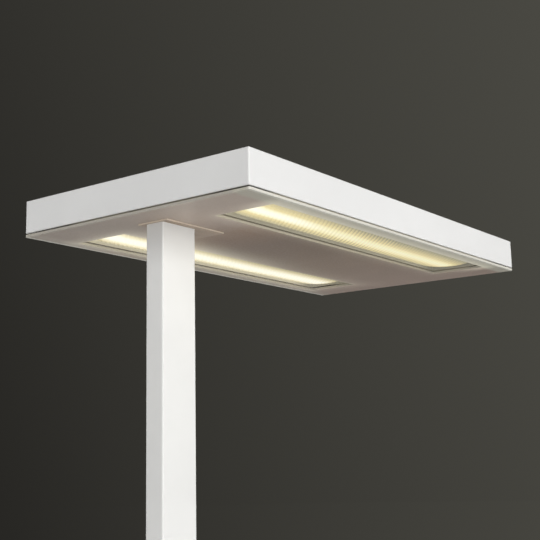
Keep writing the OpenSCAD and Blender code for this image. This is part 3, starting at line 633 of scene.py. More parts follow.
    # the far window's painted light reaches further, most of all from its hot end
    farLeak = addNode(
        tree, "ShaderNodeMapRange", {"Value": gap, "From Min": leaks["farReach"], "From Max": 0.0}
    )
    farLeak = addNode(tree, "ShaderNodeMath", {0: farLeak, 1: leaks["farFall"]}, operation="POWER")
    heat = addNode(
        tree, "ShaderNodeMapRange",
        {
            "Value": x, "From Min": leaks["hotTo"], "From Max": leaks["coolFrom"],
            "To Min": leaks["farHot"], "To Max": leaks["farCool"],
        },
    )
    farLeak = addNode(tree, "ShaderNodeMath", {0: farLeak, 1: heat}, operation="MULTIPLY")
    behind = addNode(
        tree, "ShaderNodeMapRange",
        {
            "Value": x, "From Min": leaks["postFrom"], "From Max": leaks["postTo"],
            "To Min": leaks["behindPost"],
        },
    )
    farLeak = addNode(tree, "ShaderNodeMath", {0: farLeak, 1: behind}, operation="MULTIPLY")
    outerSide = addNode(
        tree, "ShaderNodeMapRange", {"Value": fold, "From Min": inside, "From Max": outside}
    )
    farOuter = addNode(tree, "ShaderNodeMath", {0: leak, 1: leaks["farOuter"]}, operation="MULTIPLY")
    farLeak = addNode(tree, "ShaderNodeMix", {0: outerSide, 2: farLeak, 3: farOuter})
    farSide = addNode(tree, "ShaderNodeMath", {0: y, 1: 0.0}, operation="GREATER_THAN")
    leak = addNode(tree, "ShaderNodeMix", {0: farSide, 2: nearLeak, 3: farLeak})
    brim = addNode(
        tree, "ShaderNodeMapRange",
        {"Value": gap, "From Min": leaks["brimReach"], "From Max": 0.0, "To Max": leaks["brim"]},
    )
    faceDown = addNode(tree, "ShaderNodeMath", {0: height, 1: -0.5}, operation="LESS_THAN")
    glow = addNode(tree, "ShaderNodeMath", {0: leak, 1: brim}, operation="ADD")
    glow = addNode(tree, "ShaderNodeMath", {0: glow, 1: faceDown}, operation="MULTIPLY")
    # the windows' own cut edges get a painted glow, the sheet's outer edges don't
    besideY = addNode(tree, "ShaderNodeMath", {0: pastSide, 1: leaks["cutReach"]}, operation="LESS_THAN")
    besideX = addNode(tree, "ShaderNodeMath", {0: pastEnd, 1: leaks["cutReach"]}, operation="LESS_THAN")
    cut = addNode(tree, "ShaderNodeMath", {0: edge, 1: besideY}, operation="MULTIPLY")
    cut = addNode(tree, "ShaderNodeMath", {0: cut, 1: besideX}, operation="MULTIPLY")
    postEnd = addNode(
        tree, "ShaderNodeMapRange",
        {
            "Value": along, "From Min": 0.95, "From Max": 0.1, "To Min": leaks["cutFar"],
            "To Max": leaks["cutPost"],
        },
    )
    cut = addNode(tree, "ShaderNodeMath", {0: cut, 1: leaks["cutGlow"]}, operation="MULTIPLY")
    cut = addNode(tree, "ShaderNodeMath", {0: cut, 1: postEnd}, operation="MULTIPLY")
    glow = addNode(tree, "ShaderNodeMath", {0: glow, 1: cut}, operation="ADD")
    lit = addNode(
        tree, "ShaderNodeVectorMath", {0: hexColour(leaks["colour"])[:3], "Scale": glow}, operation="SCALE"
    ).outputs[0]
    tree.links.new(lit, shader.inputs["Emission Color"])
    # the etch itself is about 0.1 mm across; drawn at 1.4 mm so that it shows
    etch = mottle(tree, place, look["etch"], 0.0, 1.0)
    rough = mottle(tree, place, look["patches"], *look["rough"])
    tree.links.new(rough, shader.inputs["Roughness"])
    bump = addNode(
        tree, "ShaderNodeBump", {"Height": etch, "Distance": look["etchDepth"], "Strength": relief}
    )
    tree.links.new(bump.outputs[0], shader.inputs["Normal"])
    return material


def prismaticAcrylic():
    # moulded clear acrylic with small pyramids, with a painted glow where the tubes stand over it
    look = {
        "body": "#5E5D54", "core": "#FFFFFA", "postEnd": 1.1, "farEnd": 1.0, "postReach": 250 * mm,
        "straight": 238 * mm, "endLength": 40 * mm, "halfWidth": 46.5 * mm,
        "shift": 6.5 * mm, "shiftFrom": -180 * mm, "shiftTo": 50 * mm,
        "whiter": 0.5, "whiterEdge": 0.6, "whiterCore": 0.2,
        "hot": 0.42, "hotFrom": -100 * mm, "hotTo": -170 * mm, "hotEdge": 0.32, "hotCore": 0.10,
    }
    # groove and crest scale the glow from the grooves to the pyramids' tops: painted shade and painted light
    pattern = {
        "groove": 0.42, "crest": 1.32, "crestAt": 0.8, "facet": 0.9, "facing": (-0.9, 0.4, 0.0),
        "clearFrom": -240 * mm, "clearTo": -20 * mm, "coreShare": 0.15, "rimShare": 0.7,
        "coreShown": 0.55, "rimShown": 1.25, "farContrast": 0.25,
    }
    paintedGlowTones = [
        (0.0, "#EFE8C0"), (0.18, "#E9DFB0"), (0.36, "#D2C38C"), (0.54, "#BDAF80"), (0.68, "#A9A07C"),
        (0.80, "#8B8569"), (0.90, "#716D57"), (1.0, "#55534A"),
    ]
    material, tree, shader, place = newMaterial(
        "prismaticAcrylic",
        **{"IOR": 1.49, "Roughness": 0.32, "Base Color": hexColour(look["body"]), "Emission Strength": 1.0},
    )
    axes = addNode(tree, "ShaderNodeSeparateXYZ", {"Vector": place})
    x, y = axes.outputs[0], axes.outputs[1]
    fold = addNode(
        tree, "ShaderNodeMath",
        {0: addNode(tree, "ShaderNodeMath", {0: y}, operation="ABSOLUTE"), 1: windowY},
        operation="SUBTRACT",
    )
    farOne = addNode(tree, "ShaderNodeMath", {0: y, 1: 0.0}, operation="GREATER_THAN")
    # away from the post the painted bright line strays towards the head's back
    stray = addNode(
        tree, "ShaderNodeMapRange",
        {
            "Value": x, "From Min": windowX + look["shiftFrom"], "From Max": windowX + look["shiftTo"],
            "To Max": look["shift"],
        },
    )
    backwards = addNode(tree, "ShaderNodeMapRange", {"Value": farOne, "To Min": 1.0, "To Max": -1.0})
    aside = addNode(tree, "ShaderNodeMath", {0: stray, 1: backwards}, operation="MULTIPLY")
    across = addNode(tree, "ShaderNodeMath", {0: fold, 1: aside}, operation="ADD")
    across = addNode(tree, "ShaderNodeMath", {0: across, 1: look["halfWidth"]}, operation="DIVIDE")
    past = addNode(tree, "ShaderNodeMath", {0: x, 1: windowX + look["straight"]}, operation="SUBTRACT")
    past = addNode(tree, "ShaderNodeMath", {0: past, 1: 0.0}, operation="MAXIMUM")
    endways = addNode(tree, "ShaderNodeMath", {0: past, 1: look["endLength"]}, operation="DIVIDE")
    across = addNode(tree, "ShaderNodeMath", {0: across, 1: 2.0}, operation="POWER")
    endways = addNode(tree, "ShaderNodeMath", {0: endways, 1: 2.0}, operation="POWER")
    share = addNode(
        tree, "ShaderNodeMath",
        {0: addNode(tree, "ShaderNodeMath", {0: across, 1: endways}, operation="ADD")},
        operation="SQRT",
    )
    paintedGlowRamp = addNode(tree, "ShaderNodeValToRGB", {"Fac": share})
    paintedGlowRamp.color_ramp.interpolation = "EASE"
    setStops(paintedGlowRamp, paintedGlowTones)
    along = addNode(
        tree, "ShaderNodeMapRange",
        {
            "Value": x, "From Min": windowX - look["postReach"], "From Max": windowX,
            "To Min": look["postEnd"], "To Max": look["farEnd"],
        },
    )
    # the painted glow's core is whiter: all along the far window, and at the post's end of both
    farCore = addNode(
        tree, "ShaderNodeMapRange",
        {
            "Value": share, "From Min": look["whiterEdge"], "From Max": look["whiterCore"],
            "To Max": look["whiter"],
        },
    )
    farCore = addNode(tree, "ShaderNodeMath", {0: farOne, 1: farCore}, operation="MULTIPLY")
    hotEnd = addNode(
        tree, "ShaderNodeMapRange",
        {
            "Value": x, "From Min": windowX + look["hotFrom"], "From Max": windowX + look["hotTo"],
            "To Max": look["hot"],
        },
    )
    hotCore = addNode(
        tree, "ShaderNodeMapRange",
        {"Value": share, "From Min": look["hotEdge"], "From Max": look["hotCore"]},
    )
    hotCore = addNode(tree, "ShaderNodeMath", {0: hotEnd, 1: hotCore}, operation="MULTIPLY")
    core = addNode(tree, "ShaderNodeMath", {0: farCore, 1: hotCore}, operation="MAXIMUM")
    glow = addNode(
        tree, "ShaderNodeMix", {"Factor": core, 6: paintedGlowRamp, 7: hexColour(look["core"])}, data_type="RGBA"
    ).outputs[2]
    # painted shade in the grooves between the pyramids, and a little painted light on the faces towards the
    # post
    rise = addNode(tree, "ShaderNodeAttribute", attribute_name="rise").outputs["Fac"]
    groove = addNode(
        tree, "ShaderNodeMapRange",
        {
            "Value": rise, "From Max": pattern["crestAt"], "To Min": pattern["groove"],
            "To Max": pattern["crest"],
        },
    )
    normal = addNode(tree, "ShaderNodeNewGeometry").outputs["True Normal"]
    slant = addNode(
        tree, "ShaderNodeVectorMath", {0: normal, 1: pattern["facing"]}, operation="DOT_PRODUCT"
    ).outputs["Value"]
    facet = addNode(tree, "ShaderNodeMath", {0: slant, 1: pattern["facet"]}, operation="MULTIPLY")
    facet = addNode(tree, "ShaderNodeMath", {0: facet, 1: 1.0}, operation="ADD")
    facet = addNode(tree, "ShaderNodeMath", {0: facet, 1: groove}, operation="MULTIPLY")
    # the tubes are brightest at the post's end, and their painted glow drowns the painted pattern there
    clearness = addNode(
        tree, "ShaderNodeMapRange",
        {"Value": x, "From Min": windowX + pattern["clearFrom"], "From Max": windowX + pattern["clearTo"]},
    )
    hazy = addNode(
        tree, "ShaderNodeMapRange",
        {
            "Value": share, "From Min": pattern["coreShare"], "From Max": pattern["rimShare"],
            "To Min": pattern["coreShown"], "To Max": pattern["rimShown"],
        },
    )
    clearness = addNode(tree, "ShaderNodeMath", {0: clearness, 1: hazy}, operation="MULTIPLY")
    shown = addNode(
        tree, "ShaderNodeMapRange", {"Value": farOne, "To Min": 1.0, "To Max": pattern["farContrast"]}
    )
    shown = addNode(tree, "ShaderNodeMath", {0: clearness, 1: shown}, operation="MULTIPLY")
    facet = addNode(tree, "ShaderNodeMix", {0: shown, 2: 1.0, 3: facet}, clamp_factor=False)
    level = addNode(tree, "ShaderNodeMath", {0: along, 1: facet}, operation="MULTIPLY")
    lit = addNode(tree, "ShaderNodeVectorMath", {0: glow, "Scale": level}, operation="SCALE").outputs[0]
    tree.links.new(lit, shader.inputs["Emission Color"])
    return material


def wellSheet():
    # enamelled steel sheet, coloured grey as painted shade; its wells, and its underside near them, get a
    # painted glow of the lamps' light
    look = {
        "colour": "#A8A599", "shade": "#A09D91", "glow": "#D8CFB4", "top": 0.55, "foot": 0.30,
        "wallFrom": 16 * mm, "wallTo": 2 * mm, "inner": 0.62, "turn": 30 * mm,
        "dimFrom": 215 * mm, "dimTo": 255 * mm, "dim": 0.28,
        "underInner": 0.19, "underOuter": 0.50, "innerReach": 90 * mm, "outerReach": 15 * mm,
        "farLift": 1.3, "drift": 11.0, "patches": 420.0, "rough": (0.44, 0.54),
    }
    material, tree, shader, place = newMaterial(
        "wellSheet", **{"IOR": 1.5, "Emission Color": hexColour(look["glow"])}
    )
    # the sheet's grey colour is painted shade on what is white enamel
    drift = mottle(tree, place, look["drift"], 0.0, 1.0)
    colour = addNode(
        tree, "ShaderNodeMix",
        {"Factor": drift, 6: hexColour(look["colour"]), 7: hexColour(look["shade"])},
        data_type="RGBA",
    ).outputs[2]
    tree.links.new(colour, shader.inputs["Base Color"])
    tree.links.new(mottle(tree, place, look["patches"], *look["rough"]), shader.inputs["Roughness"])
    axes = addNode(tree, "ShaderNodeSeparateXYZ", {"Vector": place})
    x, y, z = axes.outputs[0], axes.outputs[1], axes.outputs[2]
    fold, pastEnd, pastSide = windowPlaces(tree, x, y)
    away = addNode(tree, "ShaderNodeMath", {0: pastEnd, 1: pastSide}, operation="MAXIMUM")
    # a well's walls get a painted glow: brighter towards their top, dimmer on the inner side and at the far
    # end
    wall = addNode(
        tree, "ShaderNodeMapRange",
        {"Value": away, "From Min": look["wallFrom"], "From Max": look["wallTo"]},
    )
    rising = addNode(
        tree, "ShaderNodeMapRange",
        {
            "Value": z, "From Min": trayLow.z, "From Max": trayHigh.z, "To Min": look["foot"],
            "To Max": look["top"],
        },
    )
    wall = addNode(tree, "ShaderNodeMath", {0: wall, 1: rising}, operation="MULTIPLY")
    innerSide = addNode(
        tree, "ShaderNodeMapRange",
        {"Value": fold, "From Min": -look["turn"], "From Max": look["turn"], "To Min": look["inner"]},
    )
    wall = addNode(tree, "ShaderNodeMath", {0: wall, 1: innerSide}, operation="MULTIPLY")
    dim = addNode(
        tree, "ShaderNodeMapRange",
        {
            "Value": x, "From Min": windowX + look["dimFrom"], "From Max": windowX + look["dimTo"],
            "To Min": 1.0, "To Max": look["dim"],
        },
    )
    wall = addNode(tree, "ShaderNodeMath", {0: wall, 1: dim}, operation="MULTIPLY")
    # the underside: its painted light dies out with the distance from the window
    reach = addNode(
        tree, "ShaderNodeMapRange",
        {
            "Value": fold, "From Min": -look["turn"], "From Max": look["turn"],
            "To Min": look["innerReach"], "To Max": look["outerReach"],
        },
    )
    fade = addNode(tree, "ShaderNodeMath", {0: away, 1: reach}, operation="DIVIDE")
    fade = addNode(tree, "ShaderNodeMapRange", {"Value": fade, "From Min": 1.0, "From Max": 0.05})
    under = addNode(
        tree, "ShaderNodeMapRange",
        {
            "Value": fold, "From Min": -look["turn"], "From Max": look["turn"],
            "To Min": look["underInner"], "To Max": look["underOuter"],
        },
    )
    under = addNode(tree, "ShaderNodeMath", {0: fade, 1: under}, operation="MULTIPLY")
    normal = addNode(tree, "ShaderNodeNewGeometry").outputs["True Normal"]
    upright = addNode(tree, "ShaderNodeSeparateXYZ", {"Vector": normal}).outputs[2]
    faceDown = addNode(tree, "ShaderNodeMath", {0: upright, 1: -0.5}, operation="LESS_THAN")
    level = addNode(tree, "ShaderNodeMix", {0: faceDown, 2: wall, 3: under})
    farSide = addNode(tree, "ShaderNodeMath", {0: y, 1: 0.0}, operation="GREATER_THAN")
    lift = addNode(tree, "ShaderNodeMapRange", {"Value": farSide, "To Min": 1.0, "To Max": look["farLift"]})
    strength = addNode(tree, "ShaderNodeMath", {0: level, 1: lift}, operation="MULTIPLY").outputs[0]
    tree.links.new(strength, shader.inputs["Emission Strength"])
    return material


def clearAcrylic():
    # cast sheet, clear and glossy, with a trace of green in the body and faint wiping marks
    look = {
        "body": "#F1F5F2", "clearness": 0.94, "wipes": 90.0, "stretch": (0.15, 1, 1), "rough": (0.02, 0.10),
    }
    material, tree, shader, place = newMaterial(
        "clearAcrylic",
        **{"IOR": 1.49, "Base Color": hexColour(look["body"]), "Transmission Weight": look["clearness"]},
    )
    streaks = addNode(tree, "ShaderNodeMapping", {"Vector": place, "Scale": look["stretch"]})
    wipe = mottle(tree, streaks, look["wipes"], *look["rough"])
    tree.links.new(wipe, shader.inputs["Roughness"])
    return material


def phosphorTube(capEnd):
    # glass coated inside with white phosphor, lit; the cap at the post's end is white plastic
    look = {
        "cap": "#E4E2DC", "glass": "#F4F1E8", "light": "#FFF3D6", "rough": 0.12, "warmUp": 30 * mm,
        "patches": 40.0, "strength": (1.5, 1.8),
    }
    material, tree, shader, place = newMaterial(
        "phosphorTube",
        **{"IOR": 1.5, "Roughness": look["rough"], "Emission Color": hexColour(look["light"])},
    )
    x = addNode(tree, "ShaderNodeSeparateXYZ", {"Vector": place})
    tube = addNode(tree, "ShaderNodeMath", {0: x, 1: capEnd}, operation="GREATER_THAN")
    colour = addNode(
        tree, "ShaderNodeMix",
        {"Factor": tube, 6: hexColour(look["cap"]), 7: hexColour(look["glass"])},
        data_type="RGBA",
    ).outputs[2]
    tree.links.new(colour, shader.inputs["Base Color"])
    # the glass beside the cap is dimmer
    warm = addNode(
        tree, "ShaderNodeMapRange", {"Value": x, "From Min": capEnd, "From Max": capEnd + look["warmUp"]}
    )
    patch = mottle(tree, place, look["patches"], *look["strength"])
    strength = addNode(tree, "ShaderNodeMath", {0: warm, 1: patch}, operation="MULTIPLY").outputs[0]
    tree.links.new(strength, shader.inputs["Emission Strength"])
    return material


finishes["satinAcrylic"] = satinAcrylic()
finishes["satinMoulding"] = satinMoulding()
finishes["prismaticAcrylic"] = prismaticAcrylic()
finishes["clearAcrylic"] = clearAcrylic()
finishes["wellSheet"] = wellSheet()
lampCap = 32 * mm  # from a lamp's end to where its glass shows
finishes["phosphorTube"] = phosphorTube(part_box("lamp_1")[0].x + lampCap)
print("acrylics and lamp glass made")

finishOf = {
    "powderCoatedAluminium": ["frame_front", "frame_back", "frame_post_end", "frame_far_end"],
    "powderCoatedExtrusion": ["post"],
    "powderCoatedSteel": ["base_plate", "foot_collar", "top_panel"],
    "wellSheet": ["tray"],
    "satinMoulding": ["mount_cover"],
    "greyCoatedSteel": ["ballast"],
    "zincPlatedSteel": [
        "base_screws", "bezel_screws", "head_bracket", "post_screws", "bracket_screws", "corner_key_1",
        "corner_key_2", "corner_key_3", "corner_key_4", "tray_screws", "plate_studs", "cover_screws",
        "reflector_screws", "gear_screws", "top_screws",
    ],
    "blackenedSteel": ["key_screws", "stud_nuts"],
    "brightRolledAluminium": ["reflector_1", "reflector_2"],
    "mouldedNylonBlack": ["cable_gland", "gland_nut", "switch_body", "control_unit"],
    "mouldedAbsWhite": [
        "lamp_holder_1", "lamp_holder_2", "lamp_clip_1", "lamp_clip_2", "terminal_block", "switch_bezel",
    ],
    "polishedAbsGrey": ["power_button", "dimmer_button"],
    "pvcWhite": ["switch_lead"],
    "nitrileRubberBlack": [
        "base_pad_1", "base_pad_2", "base_pad_3", "base_pad_4", "base_pad_5", "base_pad_6",
    ],
    "satinAcrylic": ["underside_plate"],
    "clearAcrylic": ["top_cover_1", "top_cover_2"],
    "phosphorTube": ["lamp_1", "lamp_2"],
    "prismaticAcrylic": ["diffuser_1", "diffuser_2"],
}
for finish, names in finishOf.items():
    for name in names:
        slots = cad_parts[name].data.materials
        slots.clear()
        slots.append(finishes[finish])
print("frame dressed")


def addPiece(name, mesh, body, material, slot, *stoodFor):
    piece = bpy.data.objects.new(name, mesh)
    bpy.context.scene.collection.objects.link(piece)
    if material:
        mesh.materials.clear()
        mesh.materials.append(finishes[material])
    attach(piece, body)
    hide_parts(*stoodFor)


# prismatic diffusers: a closed bowl with a flange, and rows of pyramids over its underside
bowl = {
    "pitch": 5.6 * mm,
    "relief": 0.55 * mm,
    "tip": 0.28 * mm,
    "depth": 6.6 * mm,
    "wall": 1.5 * mm,
    "flange": 5.0 * mm,
    "endLength": 42 * mm,
    "fullness": 0.8,
    "roundness": 2.5,
    "sink": 0.05 * mm,
    "rim": 0.93,
    "step": 6,
}


def bowlBody(halfLength, halfWidth):
    outline = [(s, math.radians(t)) for s in (1, -1) for t in range(-90, 91, bowl["step"])]

    def ring(length, width, rounding, z):
        straight = length - rounding
        return [
            (s * (straight + rounding * math.cos(t)), s * width * math.sin(t), z) for s, t in outline
        ]

    def flange(z):
        points = []
        length, width = halfLength + bowl["flange"], halfWidth + bowl["flange"]
        for s, t in outline:
            if abs(math.degrees(t)) > 45:
                x = length - width * (1 - 1 / abs(math.tan(t)))
                points.append((s * x, s * math.copysign(width, t), z))
            else:
                points.append((s * length, s * width * math.tan(t), z))
        return points

    def skin(inset, z, angles):
        rings = []
        for a in angles:
            c = math.cos(math.radians(a)) ** bowl["fullness"]
            d = math.sin(math.radians(a)) ** bowl["fullness"]
            length = halfLength - inset - bowl["endLength"] * (1 - c)
            rings.append(ring(length, (halfWidth - inset) * c, bowl["endLength"] * c, z - bowl["depth"] * d))
        return rings

    up = list(range(0, 87, bowl["step"]))
    inner, outer = skin(bowl["wall"], bowl["wall"], up[::-1]), skin(0.0, 0.0, up)
    rings = inner + [flange(bowl["wall"]), flange(0.0)] + outer
    shape = bmesh.new()
    rows = [[shape.verts.new(p) for p in points] for points in rings]
    count = len(outline)
    for low, high in zip(rows, rows[1:]):
        for i in range(count):
            j = (i + 1) % count
            shape.faces.new((low[i], low[j], high[j], high[i]))
    shape.faces.new(rows[0][::-1])
    shape.faces.new(rows[-1])
    bmesh.ops.recalc_face_normals(shape, faces=shape.faces)
    mesh = bpy.data.meshes.new("bowlBody")
    shape.to_mesh(mesh)
    shape.free()
    return mesh


def socket(tree, name, kind, side="INPUT"):
    tree.interface.new_socket(name=name, in_out=side, socket_type=kind)


def prismTree():
    tree = bpy.data.node_groups.new("prismRelief", "GeometryNodeTree")
    socket(tree, "Geometry", "NodeSocketGeometry")
    for name in ("Pitch", "Relief", "Tip", "Half Length", "Half Width", "End Length", "Depth", "Rim"):
        socket(tree, name, "NodeSocketFloat")
    socket(tree, "Material", "NodeSocketMaterial")
    socket(tree, "Geometry", "NodeSocketGeometry", "OUTPUT")
    given = addNode(tree, "NodeGroupInput").outputs

    # the share of the way from the bowl's middle line to its rim
    def rimShare():
        axes = addNode(tree, "ShaderNodeSeparateXYZ", {"Vector": addNode(tree, "GeometryNodeInputPosition")})
        straight = addNode(
            tree, "ShaderNodeMath", {0: given["Half Length"], 1: given["End Length"]}, operation="SUBTRACT"
        )
        past = addNode(
            tree, "ShaderNodeMath",
            {0: addNode(tree, "ShaderNodeMath", {0: axes.outputs[0]}, operation="ABSOLUTE"), 1: straight},
            operation="SUBTRACT",
        )
        past = addNode(tree, "ShaderNodeMath", {0: past, 1: 0.0}, operation="MAXIMUM")
        endways = addNode(tree, "ShaderNodeMath", {0: past, 1: given["End Length"]}, operation="DIVIDE")
        endways = addNode(tree, "ShaderNodeMath", {0: endways, 1: 2.0}, operation="POWER")
        sideways = addNode(tree, "ShaderNodeMath", {0: axes.outputs[1]}, operation="ABSOLUTE")
        sideways = addNode(
            tree, "ShaderNodeMath", {0: sideways, 1: given["Half Width"]}, operation="DIVIDE"
        )
        sideways = addNode(tree, "ShaderNodeMath", {0: sideways, 1: 2.0}, operation="POWER")
        both = addNode(tree, "ShaderNodeMath", {0: endways, 1: sideways}, operation="ADD")
        distance = addNode(tree, "ShaderNodeMath", {0: both}, operation="SQRT").outputs[0]
        return distance, axes.outputs[2]

    # a square field of points, turned so that its rows run diagonally
    reach = addNode(
        tree, "ShaderNodeMath", {0: given["Half Length"], 1: given["Half Width"]}, operation="ADD"
    )
    diagonal = addNode(tree, "ShaderNodeMath", {0: reach, 1: math.sqrt(2)}, operation="MULTIPLY")
    count = addNode(
        tree, "ShaderNodeMath",
        {0: addNode(tree, "ShaderNodeMath", {0: diagonal, 1: given["Pitch"]}, operation="DIVIDE")},
        operation="FLOOR",
    )
    size = addNode(tree, "ShaderNodeMath", {0: count, 1: given["Pitch"]}, operation="MULTIPLY")
    number = addNode(tree, "ShaderNodeMath", {0: count, 1: 1.0}, operation="ADD")
    field = addNode(
        tree, "GeometryNodeMeshGrid",
        {"Size X": size, "Size Y": size, "Vertices X": number, "Vertices Y": number},
    )
    turned = addNode(
        tree, "GeometryNodeTransform",
        {"Geometry": field.outputs["Mesh"], "Rotation": (0, 0, math.pi / 4)},
    )
    share, _ = rimShare()
    outside = addNode(
        tree, "FunctionNodeCompare",
        {0: share, 1: given["Rim"]},
        data_type="FLOAT",
        operation="GREATER_THAN",
    )
    kept = addNode(
        tree, "GeometryNodeDeleteGeometry", {"Geometry": turned, "Selection": outside}, domain="POINT"
    )
    halfDiagonal = addNode(tree, "ShaderNodeMath", {0: given["Pitch"], 1: math.sqrt(2)}, operation="DIVIDE")
    pyramid = addNode(
        tree, "GeometryNodeMeshCone",
        {
            "Vertices": 4,
            "Radius Bottom": halfDiagonal,
            "Radius Top": given["Tip"],
            "Depth": given["Relief"],
        },
    )
    corner = addNode(tree, "ShaderNodeSeparateXYZ", {"Vector": addNode(tree, "GeometryNodeInputPosition")})
    rise = addNode(tree, "ShaderNodeMath", {0: corner.outputs[2], 1: given["Relief"]}, operation="DIVIDE")
    marked = addNode(
        tree, "GeometryNodeStoreNamedAttribute",
        {"Geometry": pyramid.outputs["Mesh"], "Name": "rise", "Value": rise},
        data_type="FLOAT",
        domain="POINT",
    )
    spread = addNode(
        tree, "GeometryNodeInstanceOnPoints",
        {"Points": kept, "Instance": marked, "Rotation": (math.pi, 0, 0)},
    )
    real = addNode(tree, "GeometryNodeRealizeInstances", {0: spread})
    share, height = rimShare()
    flat = addNode(
        tree, "ShaderNodeMath",
        {0: 1.0, 1: addNode(tree, "ShaderNodeMath", {0: share, 1: bowl["roundness"]}, operation="POWER")},
        operation="SUBTRACT",
    )
    flat = addNode(tree, "ShaderNodeMath", {0: flat, 1: 0.0}, operation="MAXIMUM")
    drop = addNode(tree, "ShaderNodeMath", {0: flat, 1: 1 / bowl["roundness"]}, operation="POWER")
    drop = addNode(tree, "ShaderNodeMath", {0: drop, 1: given["Depth"]}, operation="MULTIPLY")
    level = addNode(tree, "ShaderNodeMath", {0: height, 1: drop}, operation="SUBTRACT")
    level = addNode(tree, "ShaderNodeMath", {0: level, 1: bowl["sink"]}, operation="ADD")
    axes = addNode(tree, "ShaderNodeSeparateXYZ", {"Vector": addNode(tree, "GeometryNodeInputPosition")})
    place = addNode(tree, "ShaderNodeCombineXYZ", {0: axes.outputs[0], 1: axes.outputs[1], 2: level})
    laid = addNode(tree, "GeometryNodeSetPosition", {"Geometry": real, "Position": place})
    joined = addNode(tree, "GeometryNodeJoinGeometry")
    tree.links.new(given["Geometry"], joined.inputs[0])
    tree.links.new(laid.outputs[0], joined.inputs[0])
    whole = addNode(tree, "GeometryNodeRealizeInstances", {0: joined})
    coloured = addNode(tree, "GeometryNodeSetMaterial", {"Geometry": whole, "Material": given["Material"]})
    addNode(tree, "NodeGroupOutput", {0: coloured})
    return tree


def runTree(mesh, tree, values):
    carrier = bpy.data.objects.new("carrier", mesh)
    bpy.context.scene.collection.objects.link(carrier)
    modifier = carrier.modifiers.new("nodes", "NODES")
    modifier.node_group = tree
    for item in tree.interface.items_tree:
        if item.in_out == "INPUT" and item.name in values:
            modifier[item.identifier] = values[item.name]
    graph = bpy.context.evaluated_depsgraph_get()
    made = bpy.data.meshes.new_from_object(carrier.evaluated_get(graph), depsgraph=graph)
    carrier.modifiers.clear()
    bpy.data.objects.remove(carrier)
    return made


prisms = prismTree()
for index, (low, high) in enumerate(((bowlLow, bowlHigh), (farLow, farHigh)), 1):
    halfLength = (high.x - low.x) / 2 - bowl["flange"]
    halfWidth = (high.y - low.y) / 2 - bowl["flange"]
    mesh = runTree(
        bowlBody(halfLength, halfWidth),
        prisms,
        {
            "Pitch": bowl["pitch"],
            "Relief": bowl["relief"],
            "Tip": bowl["tip"],
            "Half Length": halfLength,
            "Half Width": halfWidth,
            "End Length": bowl["endLength"],
            "Depth": bowl["depth"],
            "Rim": bowl["rim"],
            "Material": finishes["prismaticAcrylic"],
        },
    )
    middle = Vector(((low.x + high.x) / 2, (low.y + high.y) / 2, high.z - bowl["wall"]))
    mesh.transform(Matrix.Translation(middle))
    addPiece(f"prismaticDiffuser{index}", mesh, "stand", None, "prismatic_acrylic", f"diffuser_{index}")
print("diffusers made")


def turned(profile, place, segments):
    # a lathe: (radius, height) from pole to pole, or round a closed loop where no radius is 0
    shape = bmesh.new()
    steps = [math.tau * i / segments for i in range(segments)]
    rows = []
    for radius, height in profile:
        points = [(radius * math.cos(t), radius * math.sin(t), height) for t in (steps if radius else [0.0])]
        rows.append([shape.verts.new(p) for p in points])
    follow = rows[1:] + ([rows[0]] if profile[0][0] else [])
    for low, high in zip(rows, follow):
        for i in range(segments):
            j = (i + 1) % segments
            corners = [low[i % len(low)], low[j % len(low)], high[j % len(high)], high[i % len(high)]]
            shape.faces.new(list(dict.fromkeys(corners)))
    bmesh.ops.recalc_face_normals(shape, faces=shape.faces)
    mesh = bpy.data.meshes.new("turned")
    shape.to_mesh(mesh)
    shape.free()
    mesh.transform(place)
    return mesh


# push buttons: a dished cap with a rounded rim, a collar behind the bezel, and a ring let into the face
button = {
    "capRadius": 7.5 * mm, "edge": 0.6 * mm, "dish": 0.5 * mm, "skirt": 4.4 * mm, "collar": 1.2 * mm,
    "stemRadius": 2.5 * mm,
    "ringWidth": 0.8 * mm, "ringDepth": 0.3 * mm, "ringSunk": 0.06 * mm, "ringGap": 0.02 * mm,
    "powerRing": 3.75 * mm, "dimmerRing": 1.9 * mm, "sides": 64,
}


def dishAt(radius):
    share = min(radius / (button["capRadius"] - button["edge"]), 1.0)
    return button["dish"] * (math.cos(math.pi * share) + 1) / 2


def makeButton(title, node, ringRadius):
    low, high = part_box(node)
    front, back = -low.y, -high.y
    middle = ((low.x + high.x) / 2, 0, (low.z + high.z) / 2)
    place = Matrix.Translation(middle) @ Matrix.Rotation(math.pi / 2, 4, "X")
    rim, edge = button["capRadius"], button["edge"]
    ringIn, ringOut = ringRadius - button["ringWidth"], ringRadius
    inside = [ringIn * i / 4 for i in range(5)]
    outside = [ringOut + (rim - edge - ringOut) * i / 6 for i in range(7)]
    face = [(r, front - dishAt(r)) for r in inside]
    floor = front - dishAt(ringOut) - button["ringDepth"]
    face += [(ringIn, floor), (ringOut, floor)]
    face += [(r, front - dishAt(r)) for r in outside]
    turns = (0.4, 0.8, 1.2, math.pi / 2)
    corner = [(rim - edge + edge * math.sin(t), front - edge + edge * math.cos(t)) for t in turns]
    collarTop = front - button["skirt"]
    collarEnd = collarTop - button["collar"]
    collarRadius = (high.x - low.x) / 2
    behind = [
        (rim, collarTop), (collarRadius, collarTop), (collarRadius, collarEnd),
        (button["stemRadius"], collarEnd), (button["stemRadius"], back), (0.0, back),
    ]
    cap = turned(face + corner + behind, place, button["sides"])
    addPiece(title, cap, node, "polishedAbsGrey", "button_plastic", node)
    # the ring is a second shot of dark plastic, a hair below the face
    gap = button["ringGap"]
    bottom, top = floor + gap, front - dishAt(ringOut) - button["ringSunk"]
    band = [(ringIn + gap, bottom), (ringOut - gap, bottom), (ringOut - gap, top), (ringIn + gap, top)]
    ring = turned(band, place, button["sides"])
    addPiece(title + "Ring", ring, node, "mouldedNylonBlack", "black_plastic")


makeButton("powerButton", "power_button", button["powerRing"])
makeButton("dimmerButton", "dimmer_button", button["dimmerRing"])
print("buttons made")

